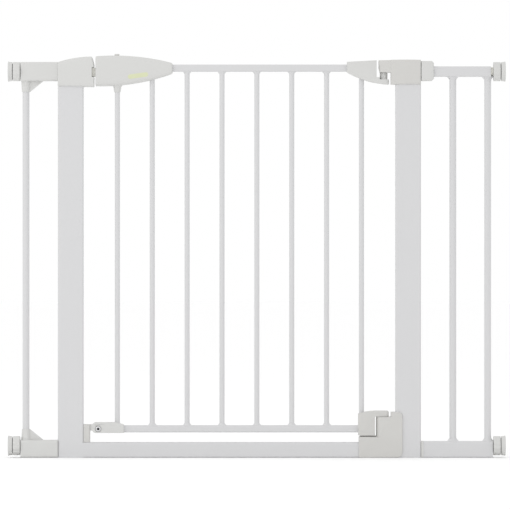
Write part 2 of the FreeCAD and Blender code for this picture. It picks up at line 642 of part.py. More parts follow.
def latch_housing():
    """Front and rear shells on top of the left post, with the notch for the bolt."""
    bottom = UPPER_AXIS_Z - LATCH_HOUSING_BELOW_AXIS
    right_top = UPPER_AXIS_Z + LATCH_RIGHT_ABOVE_AXIS
    corners = [(LEFT_POST_X0, bottom, 0), (LATCH_FACE_X, bottom - LATCH_HOUSING_DROOP, 0),
               (LATCH_FACE_X, right_top - LATCH_CHAMFER_DROP, 0),
               (LATCH_FACE_X - LATCH_CHAMFER_RUN, right_top, LATCH_TOP_BULGE),
               (LEFT_POST_X0, UPPER_AXIS_Z + LATCH_LEFT_ABOVE_AXIS, 0)]
    shell = slab(corners, LATCH_HOUSING_DEPTH, COVER_ROUND)
    above_post = middle_block((LEFT_POST_X0 + SHELL_WALL, LEFT_POST_X1), POST_DEPTH,
                              (POST_TOP_Z, UPPER_AXIS_Z + LATCH_LEFT_ABOVE_AXIS - SHELL_WALL))
    post_room = middle_block((LEFT_POST_X0, LEFT_POST_X1), POST_DEPTH, (0, POST_TOP_Z))
    half_bolt = BOLT_HEIGHT / 2
    notch = middle_block((LATCH_FACE_X - LATCH_NOTCH_DEPTH, LATCH_FACE_X + MARGIN),
                         LATCH_HOUSING_DEPTH,
                         (BOLT_Z - half_bolt - LATCH_NOTCH_GAP, BOLT_Z + half_bolt + LATCH_NOTCH_GAP))
    shell = shell.cut([post_room, above_post, notch, latch_slot()])
    bosses = [rod_y(SCREW_BOSS_RADIUS, -POST_DEPTH / 2, POST_DEPTH / 2, *LATCH_SCREWS[0])]
    shell = shell.fuse(bosses)
    shell = shell.cut([cover_screw_hole(x, z, LATCH_HOUSING_DEPTH) for x, z in LATCH_SCREWS])
    return front_and_rear(shell)


def hinge_cover():
    """Front and rear shells on top of the right post, with the lug that holds the upper pin."""
    top = TOP_RAIL_Z + HINGE_COVER_TOP
    bottom = TOP_RAIL_Z - HINGE_COVER_BELOW_RAIL
    lug_bottom = TOP_RAIL_Z - HINGE_LUG_BELOW_RAIL
    face_x = HINGE_X + HINGE_FRAME_GAP
    body = slab([(face_x, bottom, 0), (RIGHT_POST_X1, bottom, 0),
                 (RIGHT_POST_X1, top, HINGE_COVER_CROWN), (face_x, top, 0)],
                HINGE_COVER_DEPTH, COVER_ROUND)
    lug_x0 = HINGE_X - HINGE_LUG_REACH
    lug = slab([(lug_x0 + HINGE_LUG_SLANT, lug_bottom, 0), (face_x + COVER_ROUND, lug_bottom, 0),
                (face_x + COVER_ROUND, top - HINGE_COVER_CROWN, 0),
                (lug_x0, top - 2 * HINGE_COVER_CROWN, 0),
                (lug_x0, top - HINGE_COVER_TOP, 0)], HINGE_DEPTH)
    swept = rod_z(HINGE_SWEEP_RADIUS, bottom, top, HINGE_X)
    right_of_axis = middle_block((HINGE_X, face_x + COVER_ROUND), HINGE_DEPTH, (bottom, top))
    lug = lug.common(swept.fuse(right_of_axis))
    shell = body.fuse(lug)
    post_room = middle_block((RIGHT_POST_X0, RIGHT_POST_X1), POST_DEPTH, (0, POST_TOP_Z))
    above_post = middle_block((RIGHT_POST_X0, RIGHT_POST_X1 - SHELL_WALL), POST_DEPTH,
                              (POST_TOP_Z, top - SHELL_WALL))
    boss_room = rod_z(HINGE_COUNTERBORE_RADIUS, lug_bottom,
                      lug_bottom + LIFT_TRAVEL + HINGE_COUNTERBORE_SPARE, HINGE_X)
    shell = shell.cut([post_room, above_post, boss_room, upper_pin(grown=SNUG)])
    shell = shell.fuse(rod_y(SCREW_BOSS_RADIUS, -POST_DEPTH / 2, POST_DEPTH / 2, *HINGE_SCREWS[0]))
    shell = shell.cut([cover_screw_hole(x, z, HINGE_COVER_DEPTH) for x, z in HINGE_SCREWS])
    return front_and_rear(shell)


def upper_pin(grown=0.0):
    """Headed pin that hangs from the frame's lug into the door's lug."""
    top = TOP_RAIL_Z + HINGE_COVER_TOP - SHELL_WALL
    shank = rod_z(PIN_RADIUS + grown, TOP_RAIL_Z - UPPER_PIN_BOTTOM, top, HINGE_X)
    head = rod_z(PIN_HEAD_RADIUS + grown, top - PIN_HEAD_HEIGHT - grown, top + grown, HINGE_X)
    return shank.fuse(head)


def lower_hinge_block():
    """Moulding that straddles the threshold rail and carries the lower bush.

    The door's lower moulding comes to rest on its rib.
    """
    x0 = HINGE_X - LOWER_BLOCK_LEFT
    upright_x0 = HINGE_X + LOWER_UPRIGHT_GAP
    x1 = RIGHT_POST_X0 + LOWER_CHEEK_ON_POST
    round_top = LOWER_CHEEK_TOP_ROUND
    round_bottom = LOWER_CHEEK_BOTTOM_ROUND
    saddle = slab([(x0, 0, 0), (x1 - round_bottom, 0, QUARTER_ARC_BULGE * round_bottom),
                   (x1, round_bottom, 0),
                   (x1, LOWER_UPRIGHT_TOP_Z - round_top, QUARTER_ARC_BULGE * round_top),
                   (x1 - round_top, LOWER_UPRIGHT_TOP_Z, 0), (upright_x0, LOWER_UPRIGHT_TOP_Z, 0),
                   (upright_x0, LOWER_BLOCK_STEP_Z, 0), (x0, LOWER_BLOCK_STEP_Z, 0)],
                  LOWER_BLOCK_DEPTH, LOWER_BLOCK_ROUND)
    boss_z = (THRESHOLD_HEIGHT, LOWER_BOSS_TOP_Z)
    boss = middle_block((HINGE_X - LOWER_BOSS_REACH, HINGE_X), LOWER_BLOCK_DEPTH, boss_z)
    boss = boss.common(rod_z(LOWER_BOSS_RADIUS, *boss_z, HINGE_X))
    bridge = middle_block((HINGE_X, RIGHT_POST_X0), LOWER_BLOCK_DEPTH, boss_z)
    rest_rib = middle_block((x0 + LOWER_BLOCK_ROUND, HINGE_X), REST_RIB_DEPTH,
                            (THRESHOLD_HEIGHT, DOOR_BLOCK_BOTTOM_Z - REST_RIB_GAP))
    rail_room = middle_block((x0, RIGHT_POST_X0), POST_DEPTH, (0, THRESHOLD_HEIGHT))
    post_room = middle_block((RIGHT_POST_X0, x1), POST_DEPTH, (0, POST_TOP_Z))
    bush_room = rod_z(BUSH_RADIUS + RUNNING, BUSH_BOTTOM_Z - RUNNING, POST_TOP_Z, HINGE_X)
    flange_room = rod_z(BUSH_FLANGE_RADIUS + RUNNING,
                        BUSH_TOP_Z - BUSH_FLANGE_HEIGHT - RUNNING, POST_TOP_Z, HINGE_X)
    solid = saddle.fuse([boss, bridge, rest_rib])
    return solid.cut([rail_room, post_room, bush_room, flange_room])


def lower_latch_keeper():
    """Open-topped socket on the rail, beside the left post."""
    x1 = LEFT_POST_X1 + KEEPER_LENGTH
    body = rounded_bar((LEFT_POST_X1, x1), (-KEEPER_DEPTH / 2, KEEPER_DEPTH / 2),
                       (THRESHOLD_HEIGHT, KEEPER_TOP_Z), Z_AXIS, KEEPER_ROUND)
    slot_depth = TONGUE_THICKNESS + 2 * TONGUE_SIDE_CLEARANCE
    return body.cut(middle_block((LEFT_POST_X1 + KEEPER_END_WALL, x1), slot_depth,
                                 (KEEPER_FLOOR_Z, KEEPER_TOP_Z)))


# --- Door ---
def flatted(radius, flat, z0, z1):
    """Round pin on the hinge axis with one flat side."""
    pin = rod_z(radius, z0, z1, HINGE_X)
    waste = block((HINGE_X - 2 * radius, HINGE_X + 2 * radius), (flat, 2 * radius + flat), (z0, z1))
    return pin.cut(waste)


def lower_pin():
    """Pin fixed in the door's lip; its flat turns the bush and lets the door rise."""
    lip_top = DOOR_BLOCK_TOP_Z - SHELL_WALL
    return flatted(PIN_RADIUS, PIN_FLAT, LOWER_PIN_BOTTOM_Z, lip_top)


def lower_bush():
    """Flanged bush that turns in the frame's boss and guides the pin as the door rises."""
    body = rod_z(BUSH_RADIUS, BUSH_BOTTOM_Z, BUSH_TOP_Z, HINGE_X)
    flange = rod_z(BUSH_FLANGE_RADIUS, BUSH_TOP_Z - BUSH_FLANGE_HEIGHT, BUSH_TOP_Z, HINGE_X)
    bore = flatted(PIN_RADIUS + RUNNING, PIN_FLAT + RUNNING, BUSH_BOTTOM_Z, BUSH_TOP_Z)
    return body.fuse(flange).cut(bore)


def door_steel():
    """Two rails and the round bars."""
    end_x = HINGE_X - DOOR_BLOCK_FACE - SHELL_WALL
    top_z = (TOP_RAIL_Z - HALF_RAIL, TOP_RAIL_Z + HALF_RAIL)
    bottom_z = (BOTTOM_RAIL_Z - HALF_RAIL, BOTTOM_RAIL_Z + HALF_RAIL)
    bottom_rail = tube_x((LATCH_CAP_X0 + LATCH_CAP_WALL, end_x), DOOR_RAIL_SIZE, bottom_z,
                         DOOR_RAIL_WALL, DOOR_RAIL_CORNER)
    pieces = {
        "door_top_rail": tube_x((TOP_RAIL_X0, end_x), DOOR_RAIL_SIZE, top_z, DOOR_RAIL_WALL,
                                DOOR_RAIL_CORNER),
        "door_bottom_rail": bottom_rail.cut(latch_screw_hole()),
    }
    for number, bar_x in enumerate(BAR_PLACES, start=1):
        top = top_z[0] if number > 1 else handle_bottom_z() + BAR_IN_HANDLE
        pieces["door_bar_%d" % number] = round_tube(BAR_DIAMETER, BAR_WALL, bottom_z[1], top, bar_x)
    return pieces


def handle_bottom_z():
    """Underside of the handle at its latch end."""
    return TOP_RAIL_Z - HANDLE_DOWN_AT_LATCH


def handle_corners(inset):
    """Outline of the handle, or of its hollow when inset."""
    x0 = HANDLE_X0 + inset
    x1 = HANDLE_X1 - inset
    return [(x0, handle_bottom_z() + inset, HANDLE_BOTTOM_BULGE),
            (x1, TOP_RAIL_Z - HANDLE_DOWN_AT_TIP + inset, 0),
            (x1, TOP_RAIL_Z + HANDLE_UP_AT_TIP - inset, HANDLE_TOP_BULGE),
            (x0, TOP_RAIL_Z + HANDLE_UP_AT_LATCH - inset, 0)]


def handle():
    """Front and rear handle shells, with the ribs that guide the bolt and stop its spring."""
    shell = slab(handle_corners(0), HANDLE_DEPTH, HANDLE_ROUND)
    socket = taper(HANDLE_SOCKET_RADIUS, HANDLE_SOCKET_TIP_RADIUS,
                   FreeCAD.Vector(FIRST_BAR_X, 0, handle_bottom_z() + RIB_SINK),
                   FreeCAD.Vector(FIRST_BAR_X, 0, handle_bottom_z() - HANDLE_SOCKET_DROP))
    shell = shell.fuse(socket)
    hollow = slab(handle_corners(SHELL_WALL), HANDLE_DEPTH - 2 * SHELL_WALL)
    shell = shell.cut(hollow)
    guide_x = HANDLE_X0 + GUIDE_OFFSET
    rib_y = HANDLE_DEPTH / 2 - RIB_SINK
    ribs = [middle_block((guide_x, guide_x + BULKHEAD_THICKNESS), 2 * rib_y,
                         (BOLT_Z - GUIDE_REACH, BOLT_Z + GUIDE_REACH)),
            middle_block((BULKHEAD_X, BULKHEAD_X + BULKHEAD_THICKNESS), 2 * rib_y,
                         (BOLT_Z - BULKHEAD_REACH_DOWN, BOLT_Z + BULKHEAD_REACH_UP)),
            rod_z(HANDLE_SOCKET_RADIUS, handle_bottom_z() + RIB_SINK,
                  handle_bottom_z() + BAR_IN_HANDLE, FIRST_BAR_X)]
    ribs += [rod_y(SCREW_BOSS_RADIUS, -rib_y, rib_y, x, z) for x, z in HANDLE_SCREWS]
    shell = shell.fuse(ribs)
    half_bolt = BOLT_HEIGHT / 2
    bolt_room = middle_block((HANDLE_X0 - MARGIN, BULKHEAD_X), BOLT_DEPTH + 2 * SLIDING,
                             (BOLT_Z - half_bolt - SLIDING, BOLT_Z + half_bolt + SLIDING))
    rail_room = middle_block((TOP_RAIL_X0, HANDLE_X1 + MARGIN), DOOR_RAIL_SIZE + 2 * SNUG,
                             (TOP_RAIL_Z - HALF_RAIL - SNUG, TOP_RAIL_Z + HALF_RAIL + SNUG))
    bar_room = [rod_z(BAR_RADIUS + SNUG, handle_bottom_z() - HANDLE_SOCKET_DROP,
                      handle_bottom_z() + BAR_IN_HANDLE, FIRST_BAR_X)]
    bar_room += [rod_z(BAR_RADIUS + SNUG, handle_bottom_z(), TOP_RAIL_Z - HALF_RAIL, bar_x)
                 for bar_x in BAR_PLACES[1:] if bar_x - BAR_RADIUS < HANDLE_X1]
    button_x0 = HANDLE_X0 + BUTTON_OFFSET - BUTTON_LENGTH / 2
    button_slot = middle_block((button_x0 - SLIDING, button_x0 + BUTTON_LENGTH + BOLT_TRAVEL + SLIDING),
                               BUTTON_WIDTH + 2 * SLIDING,
                               (TOP_RAIL_Z + HALF_RAIL, TOP_RAIL_Z + 2 * HANDLE_UP_AT_LATCH))
    shell = shell.cut([bolt_room, rail_room, button_slot] + bar_room)
    shell = shell.cut([cover_screw_hole(x, z, HANDLE_DEPTH) for x, z in HANDLE_SCREWS])
    return front_and_rear(shell)


def latch_bolt():
    """Sliding bolt with a bevelled nose and a pocket for the button's stem."""
    half_bolt = BOLT_HEIGHT / 2
    bolt = middle_block((BOLT_TIP_X, BOLT_TAIL_X), BOLT_DEPTH, (BOLT_Z - half_bolt, BOLT_Z + half_bolt))
    nose = [edge for edge in bolt.Edges if abs(edge.CenterOfMass.x - BOLT_TIP_X) < SNUG]
    bolt = bolt.makeChamfer(BOLT_NOSE_CHAMFER, nose)
    stem_x = HANDLE_X0 + BUTTON_OFFSET
    reach = BUTTON_STEM / 2 + SNUG
    return bolt.cut(block((stem_x - reach, stem_x + reach), (-reach, reach),
                          (BOLT_Z + half_bolt - BUTTON_STEM_DEPTH, BOLT_Z + half_bolt)))


def release_button():
    """Nub in the handle's top, with a plate under the wall and a stem into the bolt."""
    stem_x = HANDLE_X0 + BUTTON_OFFSET
    wall_top = TOP_RAIL_Z + HANDLE_UP_AT_LATCH
    plate_top = wall_top - SHELL_WALL - BUTTON_PLATE_DROP
    plate_bottom = plate_top - BUTTON_PLATE_THICKNESS
    nub = middle_block((stem_x - BUTTON_LENGTH / 2, stem_x + BUTTON_LENGTH / 2), BUTTON_WIDTH,
                       (plate_top, wall_top + BUTTON_PROUD))
    nub = nub.makeFillet(BUTTON_ROUND, [edge for edge in nub.Edges
                                        if edge.CenterOfMass.z > wall_top + BUTTON_PROUD - SNUG])
    plate = middle_block((stem_x - BUTTON_PLATE_LENGTH / 2, stem_x + BUTTON_PLATE_LENGTH / 2),
                         BUTTON_WIDTH + 2 * BUTTON_PLATE_LIP, (plate_bottom, plate_top))
    stem_bottom = BOLT_Z + BOLT_HEIGHT / 2 - BUTTON_STEM_DEPTH
    half_stem = BUTTON_STEM / 2
    stem = block((stem_x - half_stem, stem_x + half_stem), (-half_stem, half_stem),
                 (stem_bottom, plate_bottom))
    return nub.fuse([plate, stem])


def latch_spring():
    """Compression spring between the bolt's tail and the handle's bulkhead."""
    length = BULKHEAD_X - BOLT_TAIL_X - 2 * SPRING_WIRE - 2 * SNUG
    helix = Part.makeHelix(length / SPRING_TURNS, length, SPRING_RADIUS - SPRING_WIRE)
    start = FreeCAD.Vector(SPRING_RADIUS - SPRING_WIRE, 0, 0)
    ring = Part.Wire(Part.makeCircle(SPRING_WIRE, start, Y_AXIS))
    coil = Part.Wire(helix).makePipeShell([ring], True, True)
    coil.rotate(FreeCAD.Vector(0, 0, 0), Y_AXIS, 90)
    coil.translate(FreeCAD.Vector(BOLT_TAIL_X + SPRING_WIRE + SNUG, 0, BOLT_Z))
    return coil


def screw_group(places, depth):
    """Cover screws of one housing, as separate solids."""
    return Part.makeCompound([cover_screw(x, z, depth) for x, z in places])


def door_hinge_upper():
    """Moulding on the top rail's end, with the lug and boss that take the upper pin."""
    face_x = HINGE_X - DOOR_HINGE_FACE
    lug_x1 = HINGE_X + DOOR_HINGE_LUG_END
    shoulder_x = HINGE_X - DOOR_SHOULDER_END
    bottom = TOP_RAIL_Z - DOOR_HINGE_DOWN_RIGHT
    body = slab([(DOOR_HINGE_X0, TOP_RAIL_Z - DOOR_HINGE_DOWN_LEFT, DOOR_HINGE_BULGE),
                 (lug_x1, bottom, 0), (lug_x1, TOP_RAIL_Z - DOOR_LUG_SHOULDER, 0),
                 (shoulder_x, TOP_RAIL_Z - DOOR_LUG_SHOULDER, 0),
                 (shoulder_x, TOP_RAIL_Z - DOOR_LUG_TOP, 0),
                 (face_x, TOP_RAIL_Z - DOOR_LUG_TOP, 0), (face_x, TOP_RAIL_Z + DOOR_HINGE_UP_RIGHT, 0),
                 (DOOR_HINGE_X0, TOP_RAIL_Z + DOOR_HINGE_UP_LEFT, 0)], HINGE_DEPTH)
    top = TOP_RAIL_Z + DOOR_HINGE_UP_RIGHT
    lowest = bottom - DOOR_HINGE_BULGE
    keep = middle_block((DOOR_HINGE_X0, HINGE_X), HINGE_DEPTH, (lowest, top))
    keep = keep.fuse(rod_z(HINGE_SWEEP_RADIUS, lowest, top, HINGE_X))
    body = body.common(keep)
    boss = rod_z(HINGE_BOSS_RADIUS, bottom + HINGE_BOSS_SINK, TOP_RAIL_Z - HINGE_BOSS_TOP, HINGE_X)
    body = body.fuse(boss)
    rail_room = middle_block((DOOR_HINGE_X0 - MARGIN, face_x - SHELL_WALL), DOOR_RAIL_SIZE + 2 * SNUG,
                             (TOP_RAIL_Z - HALF_RAIL - SNUG, TOP_RAIL_Z + HALF_RAIL + SNUG))
    bar_room = rod_z(BAR_RADIUS + SNUG, lowest, TOP_RAIL_Z, LAST_BAR_X)
    pin_room = rod_z(PIN_RADIUS + RUNNING, lowest, top, HINGE_X)
    return body.cut([rail_room, bar_room, pin_room])


def door_hinge_lower():
    """Moulding on the bottom rail's end, with the lip that holds the lower pin."""
    x0 = LAST_BAR_X - BAR_RADIUS - DOOR_BLOCK_SIDE_WALL
    face_x = HINGE_X - DOOR_BLOCK_FACE
    lip_x1 = HINGE_X + DOOR_LIP_END
    nose = DOOR_LIP_ROUND
    body = slab([(x0, DOOR_BLOCK_BOTTOM_Z, 0), (face_x, DOOR_BLOCK_BOTTOM_Z, 0),
                 (face_x, DOOR_LIP_BOTTOM_Z, 0), (lip_x1, DOOR_LIP_BOTTOM_Z, 0),
                 (lip_x1, DOOR_BLOCK_TOP_Z - nose, QUARTER_ARC_BULGE * nose),
                 (lip_x1 - nose, DOOR_BLOCK_TOP_Z, 0),
                 (face_x, DOOR_BLOCK_TOP_Z, DOOR_BLOCK_TOP_BULGE),
                 (x0, DOOR_BLOCK_TOP_Z - DOOR_BLOCK_LEFT_DROP, 0)], HINGE_DEPTH)
    top = DOOR_BLOCK_TOP_Z + DOOR_BLOCK_TOP_BULGE
    keep = middle_block((x0, HINGE_X), HINGE_DEPTH, (DOOR_BLOCK_BOTTOM_Z, top))
    keep = keep.fuse(rod_z(HINGE_SWEEP_RADIUS, DOOR_BLOCK_BOTTOM_Z, top, HINGE_X))
    body = body.common(keep)
    rail_room = middle_block((x0 - MARGIN, face_x - SHELL_WALL), DOOR_RAIL_SIZE + 2 * SNUG,
                             (BOTTOM_RAIL_Z - HALF_RAIL - SNUG, BOTTOM_RAIL_Z + HALF_RAIL + SNUG))
    bar_room = rod_z(BAR_RADIUS + SNUG, BOTTOM_RAIL_Z, top, LAST_BAR_X)
    return body.cut([rail_room, bar_room, lower_pin()])


def latch_screw_place():
    """Place of the lower latch's screw across the gate and its height."""
    return LATCH_CAP_X0 + LATCH_SCREW_INSET, BOTTOM_RAIL_Z


def latch_screw_hole():
    """Hole for the lower latch's screw, right through the door."""
    x, z = latch_screw_place()
    return rod_y(LATCH_SCREW_RADIUS + SNUG, -LATCH_CAP_DEPTH, LATCH_CAP_DEPTH, x, z)


def latch_screw():
    """Socket screw through the lower latch and the rail."""
    x, z = latch_screw_place()
    face_y = -LATCH_CAP_DEPTH / 2
    head = rod_y(LATCH_SCREW_HEAD_RADIUS, face_y - LATCH_SCREW_HEAD_HEIGHT, face_y, x, z)
    shank = rod_y(LATCH_SCREW_RADIUS, face_y, LATCH_CAP_DEPTH / 2 - LATCH_SCREW_END_GAP, x, z)
    top_y = face_y - LATCH_SCREW_HEAD_HEIGHT
    socket = rod_y(LATCH_SCREW_SOCKET_RADIUS, top_y, top_y + LATCH_SCREW_SOCKET_DEPTH, x, z)
    return head.fuse(shank).cut(socket)


def door_lower_latch():
    """Cap on the bottom rail's end, with the tongue that drops into the keeper."""
    x0 = LATCH_CAP_X0
    x1 = x0 + LATCH_CAP_LENGTH
    z0 = BOTTOM_RAIL_Z - HALF_RAIL - LATCH_CAP_WALL_BELOW
    z1 = BOTTOM_RAIL_Z + HALF_RAIL + LATCH_CAP_WALL_ABOVE
    nose = LATCH_CAP_ROUND
    nose_bulge = QUARTER_ARC_BULGE * nose
    body = slab([(x0 + nose, z0, 0), (x1, z0, 0), (x1, z1 - LATCH_CAP_TAPER_DROP, 0),
                 (x1 - LATCH_CAP_TAPER_LENGTH, z1, 0), (x0 + nose, z1, nose_bulge),
                 (x0, z1 - nose, 0), (x0, z0 + nose, nose_bulge)], LATCH_CAP_DEPTH)
    web = middle_block((LEFT_POST_X1 + KEEPER_LENGTH + KEEPER_GAP, x0 + nose),
                       TONGUE_WEB_DEPTH, (TONGUE_BOTTOM_Z, TONGUE_TOP_Z))
    tongue = middle_block((LEFT_POST_X1 + TONGUE_GAP, x0), TONGUE_THICKNESS,
                          (TONGUE_TIP_BOTTOM_Z, TONGUE_TOP_Z))
    rail_room = middle_block((x0 + LATCH_CAP_WALL, x1), DOOR_RAIL_SIZE + 2 * SNUG,
                             (BOTTOM_RAIL_Z - HALF_RAIL - SNUG, BOTTOM_RAIL_Z + HALF_RAIL + SNUG))
    bar_room = rod_z(BAR_RADIUS + SNUG, BOTTOM_RAIL_Z, z1, FIRST_BAR_X)
    x, z = latch_screw_place()
    screw_room = rod_y(LATCH_SCREW_RADIUS + SNUG, -LATCH_CAP_DEPTH,
                       LATCH_CAP_DEPTH / 2 - LATCH_SCREW_END_GAP, x, z)
    return body.fuse([web, tongue]).cut([rail_room, bar_room, screw_room])


def all_pieces():
    """Every piece of the gate by its node name."""
    pieces = {}
    pieces.update(frame_steel())
    pieces["latch_housing_front"], pieces["latch_housing_rear"] = latch_housing()
    pieces["hinge_cover_front"], pieces["hinge_cover_rear"] = hinge_cover()
    pieces["lower_hinge_block"] = lower_hinge_block()
    pieces["lower_latch_keeper"] = lower_latch_keeper()
    pieces["upper_hinge_pin"] = upper_pin()
    pieces["frame_cover_screws"] = Part.makeCompound(
        [screw_group(LATCH_SCREWS, LATCH_HOUSING_DEPTH), screw_group(HINGE_SCREWS, HINGE_COVER_DEPTH)])
    pieces["extension_spigots"] = Part.makeCompound(spigots())
    pieces["spindle_nuts"] = spindle_nuts()
    pieces.update(left_extension())
    pieces.update(right_extension())
    for name, side, axis_z in SPINDLE_CORNERS:
        pieces.update(adjuster(name, side, axis_z))
    pieces.update(door_steel())
    pieces["handle_front"], pieces["handle_rear"] = handle()
    pieces["handle_screws"] = screw_group(HANDLE_SCREWS, HANDLE_DEPTH)
    pieces["release_button"] = release_button()
    pieces["latch_bolt"] = latch_bolt()
    pieces["latch_spring"] = latch_spring()
    pieces["door_hinge_upper"] = door_hinge_upper()
    pieces["door_hinge_lower"] = door_hinge_lower()
    pieces["lower_hinge_pin"] = lower_pin()
    pieces["lower_hinge_bush"] = lower_bush()
    pieces["door_lower_latch"] = door_lower_latch()
    pieces["lower_latch_screw"] = latch_screw()
    return pieces


os.makedirs("parts", exist_ok=True)
for node, shape in all_pieces().items():
    shape.exportStep("parts/%s.step" % node)
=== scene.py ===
import json
from math import copysign, cos, pi, radians, sin, sqrt

import bmesh
import bpy
from bpy.props import FloatProperty, FloatVectorProperty, IntProperty, PointerProperty
from mathutils import Matrix, Vector


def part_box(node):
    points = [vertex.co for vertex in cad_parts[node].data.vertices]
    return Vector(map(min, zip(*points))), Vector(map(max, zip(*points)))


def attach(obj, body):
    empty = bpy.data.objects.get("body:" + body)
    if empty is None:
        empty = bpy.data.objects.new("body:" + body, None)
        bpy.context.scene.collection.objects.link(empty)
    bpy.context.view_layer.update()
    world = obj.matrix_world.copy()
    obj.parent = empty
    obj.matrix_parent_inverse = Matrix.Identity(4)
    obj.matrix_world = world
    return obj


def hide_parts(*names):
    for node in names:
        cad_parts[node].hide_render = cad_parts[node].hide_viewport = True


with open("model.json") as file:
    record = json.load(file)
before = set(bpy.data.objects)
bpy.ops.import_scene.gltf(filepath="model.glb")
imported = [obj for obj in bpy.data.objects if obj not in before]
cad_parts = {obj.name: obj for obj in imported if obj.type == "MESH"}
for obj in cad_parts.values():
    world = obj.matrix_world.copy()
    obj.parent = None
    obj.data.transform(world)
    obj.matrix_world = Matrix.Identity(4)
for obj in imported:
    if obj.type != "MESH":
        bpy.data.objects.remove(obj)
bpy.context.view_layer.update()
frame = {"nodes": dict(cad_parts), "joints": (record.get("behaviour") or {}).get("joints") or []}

bl_info = {
    "name": "Safety gate looks",
    "version": (1, 0, 0),
    "blender": (4, 5, 0),
    "location": "3D View > Sidebar > Gate",
    "description": "Mouldings, threads, welds, screws and finishes of a pressure-held safety gate",
    "category": "Object",
}

MM = 0.001
SAME_PLACE = 0.002 * MM  # CAD vertices closer than this are one
OVERSHOOT = 1 * MM  # how far a cutter stands out of its piece
FLAT = radians(0.5)  # faces closer than this to one plane are one
SHARP_EDGE = radians(35)  # an edge past this stays sharp
ROUNDED_EDGE = radians(40)  # an edge past this gets a radius
FRONT, REAR = -1, 1
FORWARD, REARWARD = (0, FRONT, 0), (0, REAR, 0)
UP, DOWN = (0, 0, 1), (0, 0, -1)
PLASTIC = "white_moulded_plastic"
STEEL = "powder_coated_steel"
ZINC = "zinc_plated_steel"
CORNERS = ("left_top", "left_bottom", "right_top", "right_bottom")
STEEL_NODES = (["left_post", "right_post", "threshold_rail", "left_extension_bar",
                "right_extension_top_tube", "right_extension_bottom_tube",
                "right_extension_bar_inner", "right_extension_bar_outer",
                "door_top_rail", "door_bottom_rail"] + ["door_bar_%d" % n for n in range(1, 9)])


def linear(code):
    """Linear colour of an sRGB hex value."""
    shares = [int(code[place:place + 2], 16) / 255 for place in (1, 3, 5)]
    return tuple(s / 12.92 if s <= 0.04045 else ((s + 0.055) / 1.055) ** 2.4 for s in shares)


# --- What a user would change ---
def length(name, description, millimetres):
    """A length property whose default is given in millimetres."""
    return FloatProperty(name=name, description=description, default=millimetres * MM,
                         unit="LENGTH", precision=5)


def colour(name, description, code):
    """A colour property whose default is an sRGB hex value."""
    return FloatVectorProperty(name=name, description=description, subtype="COLOR",
                               default=linear(code), min=0.0, max=1.0)


class GateSizes(bpy.types.PropertyGroup):
    """Sizes of the mouldings, threads, welds and screws."""

    seam: length("Seam", "Width and depth of the groove where two shells meet", 0.35)
    edge: length("Soft edge", "Radius on the edges of the small mouldings", 0.7)
    handle_up: length("Handle above rail", "Height over the rail's axis at the latch", 21.8)
    handle_down: length("Handle below rail", "Drop under the rail's axis at the latch", 33.1)
    handle_top_bow: length("Handle top bow", "How far the handle's top bows up", 5.9)
    handle_bottom_bow: length("Handle bottom bow", "How far its underside bows down", 6.8)
    handle_tip_up: length("Tip above rail", "Height of the handle's tip over the rail's axis", 9.5)
    handle_tip_down: length("Tip below rail", "Drop of the handle's tip under the axis", 10.5)
    handle_taper: length("Handle taper", "How much thinner each shell is at the tip", 3.2)
    socket_root: length("Bar socket root", "Radius of the handle's bar socket at its root", 7.4)
    socket_tip: length("Bar socket tip", "Radius of the handle's bar socket at its mouth", 5.9)
    housing_left: length("Housing left", "Height of the housing over the post at its left", 9.4)
    housing_bow: length("Housing bow", "How far the latch housing's top bows up", 2.6)
    housing_nose: length("Housing nose", "Width of the slant at the latch housing's right", 3.4)
    housing_drop: length("Housing nose drop", "Height of the slant at the housing's right", 13.7)
    weld_reach: FloatProperty(name="Weld reach", default=0.78,
                              description="Reach of a bead along the rail, in bar radii")
    weld_side: length("Weld side reach", "Reach of a weld bead across the rail", 0.9)
    weld_height: FloatProperty(name="Weld height", default=0.88,
                               description="Height of a bead up the bar, in bar radii")
    thread_pitch: length("Thread pitch", "Advance of the spindle's thread in one turn", 1.5)
    thread_depth: length("Thread depth", "Depth of the spindle's thread", 0.9)
    screw_radius: length("Screw head radius", "Radius of a cover screw's head", 3.1)
    screw_height: length("Screw head height", "Height of a cover screw's head", 2.0)
    screw_sink: length("Screw sink", "Depth of a cover screw's head under the shell", 0.5)
    rib_height: length("Rib height", "Height of the grip ribs on the release button", 0.35)
    flute_depth: length("Flute depth", "Depth of the flutes round a tension knob", 0.9)
    flutes: IntProperty(name="Flutes", description="Flutes round a tension knob", default=12, min=3)


class GateColours(bpy.types.PropertyGroup):
    """Colours of the finishes."""

    coat: colour("Powder coat", "White polyester powder on the steel tubes", "#D0D0D1")
    moulding: colour("Mouldings", "White polypropylene of handle, covers and sleeves", "#CFCFCD")
    nylon: colour("White nylon", "Harder white nylon of the lower hinge and latch", "#CAC9C6")
    natural: colour("Natural nylon", "Undyed nylon of the bolt, nuts, bush and pegs", "#E2E1DA")
    rubber: colour("Rubber", "Grey rubber of the bumpers", "#77777A")
    zinc: colour("Zinc plate", "Bright zinc on the screws, spindles and pins", "#A9ACB1")
    oily: colour("Oiled steel", "Unplated steel inside a screw's socket", "#2E2E30")
    # Painted shade: this dark colour inside a screw's socket stands in for the shade in the recess
    wire: colour("Spring wire", "Drawn steel of the latch spring", "#8F9196")
    ink: colour("Print", "Pale green printed stroke on the handle", "#D2D6B2")
    paper: colour("Floor", "Seamless white studio floor", "#FFFFFF")


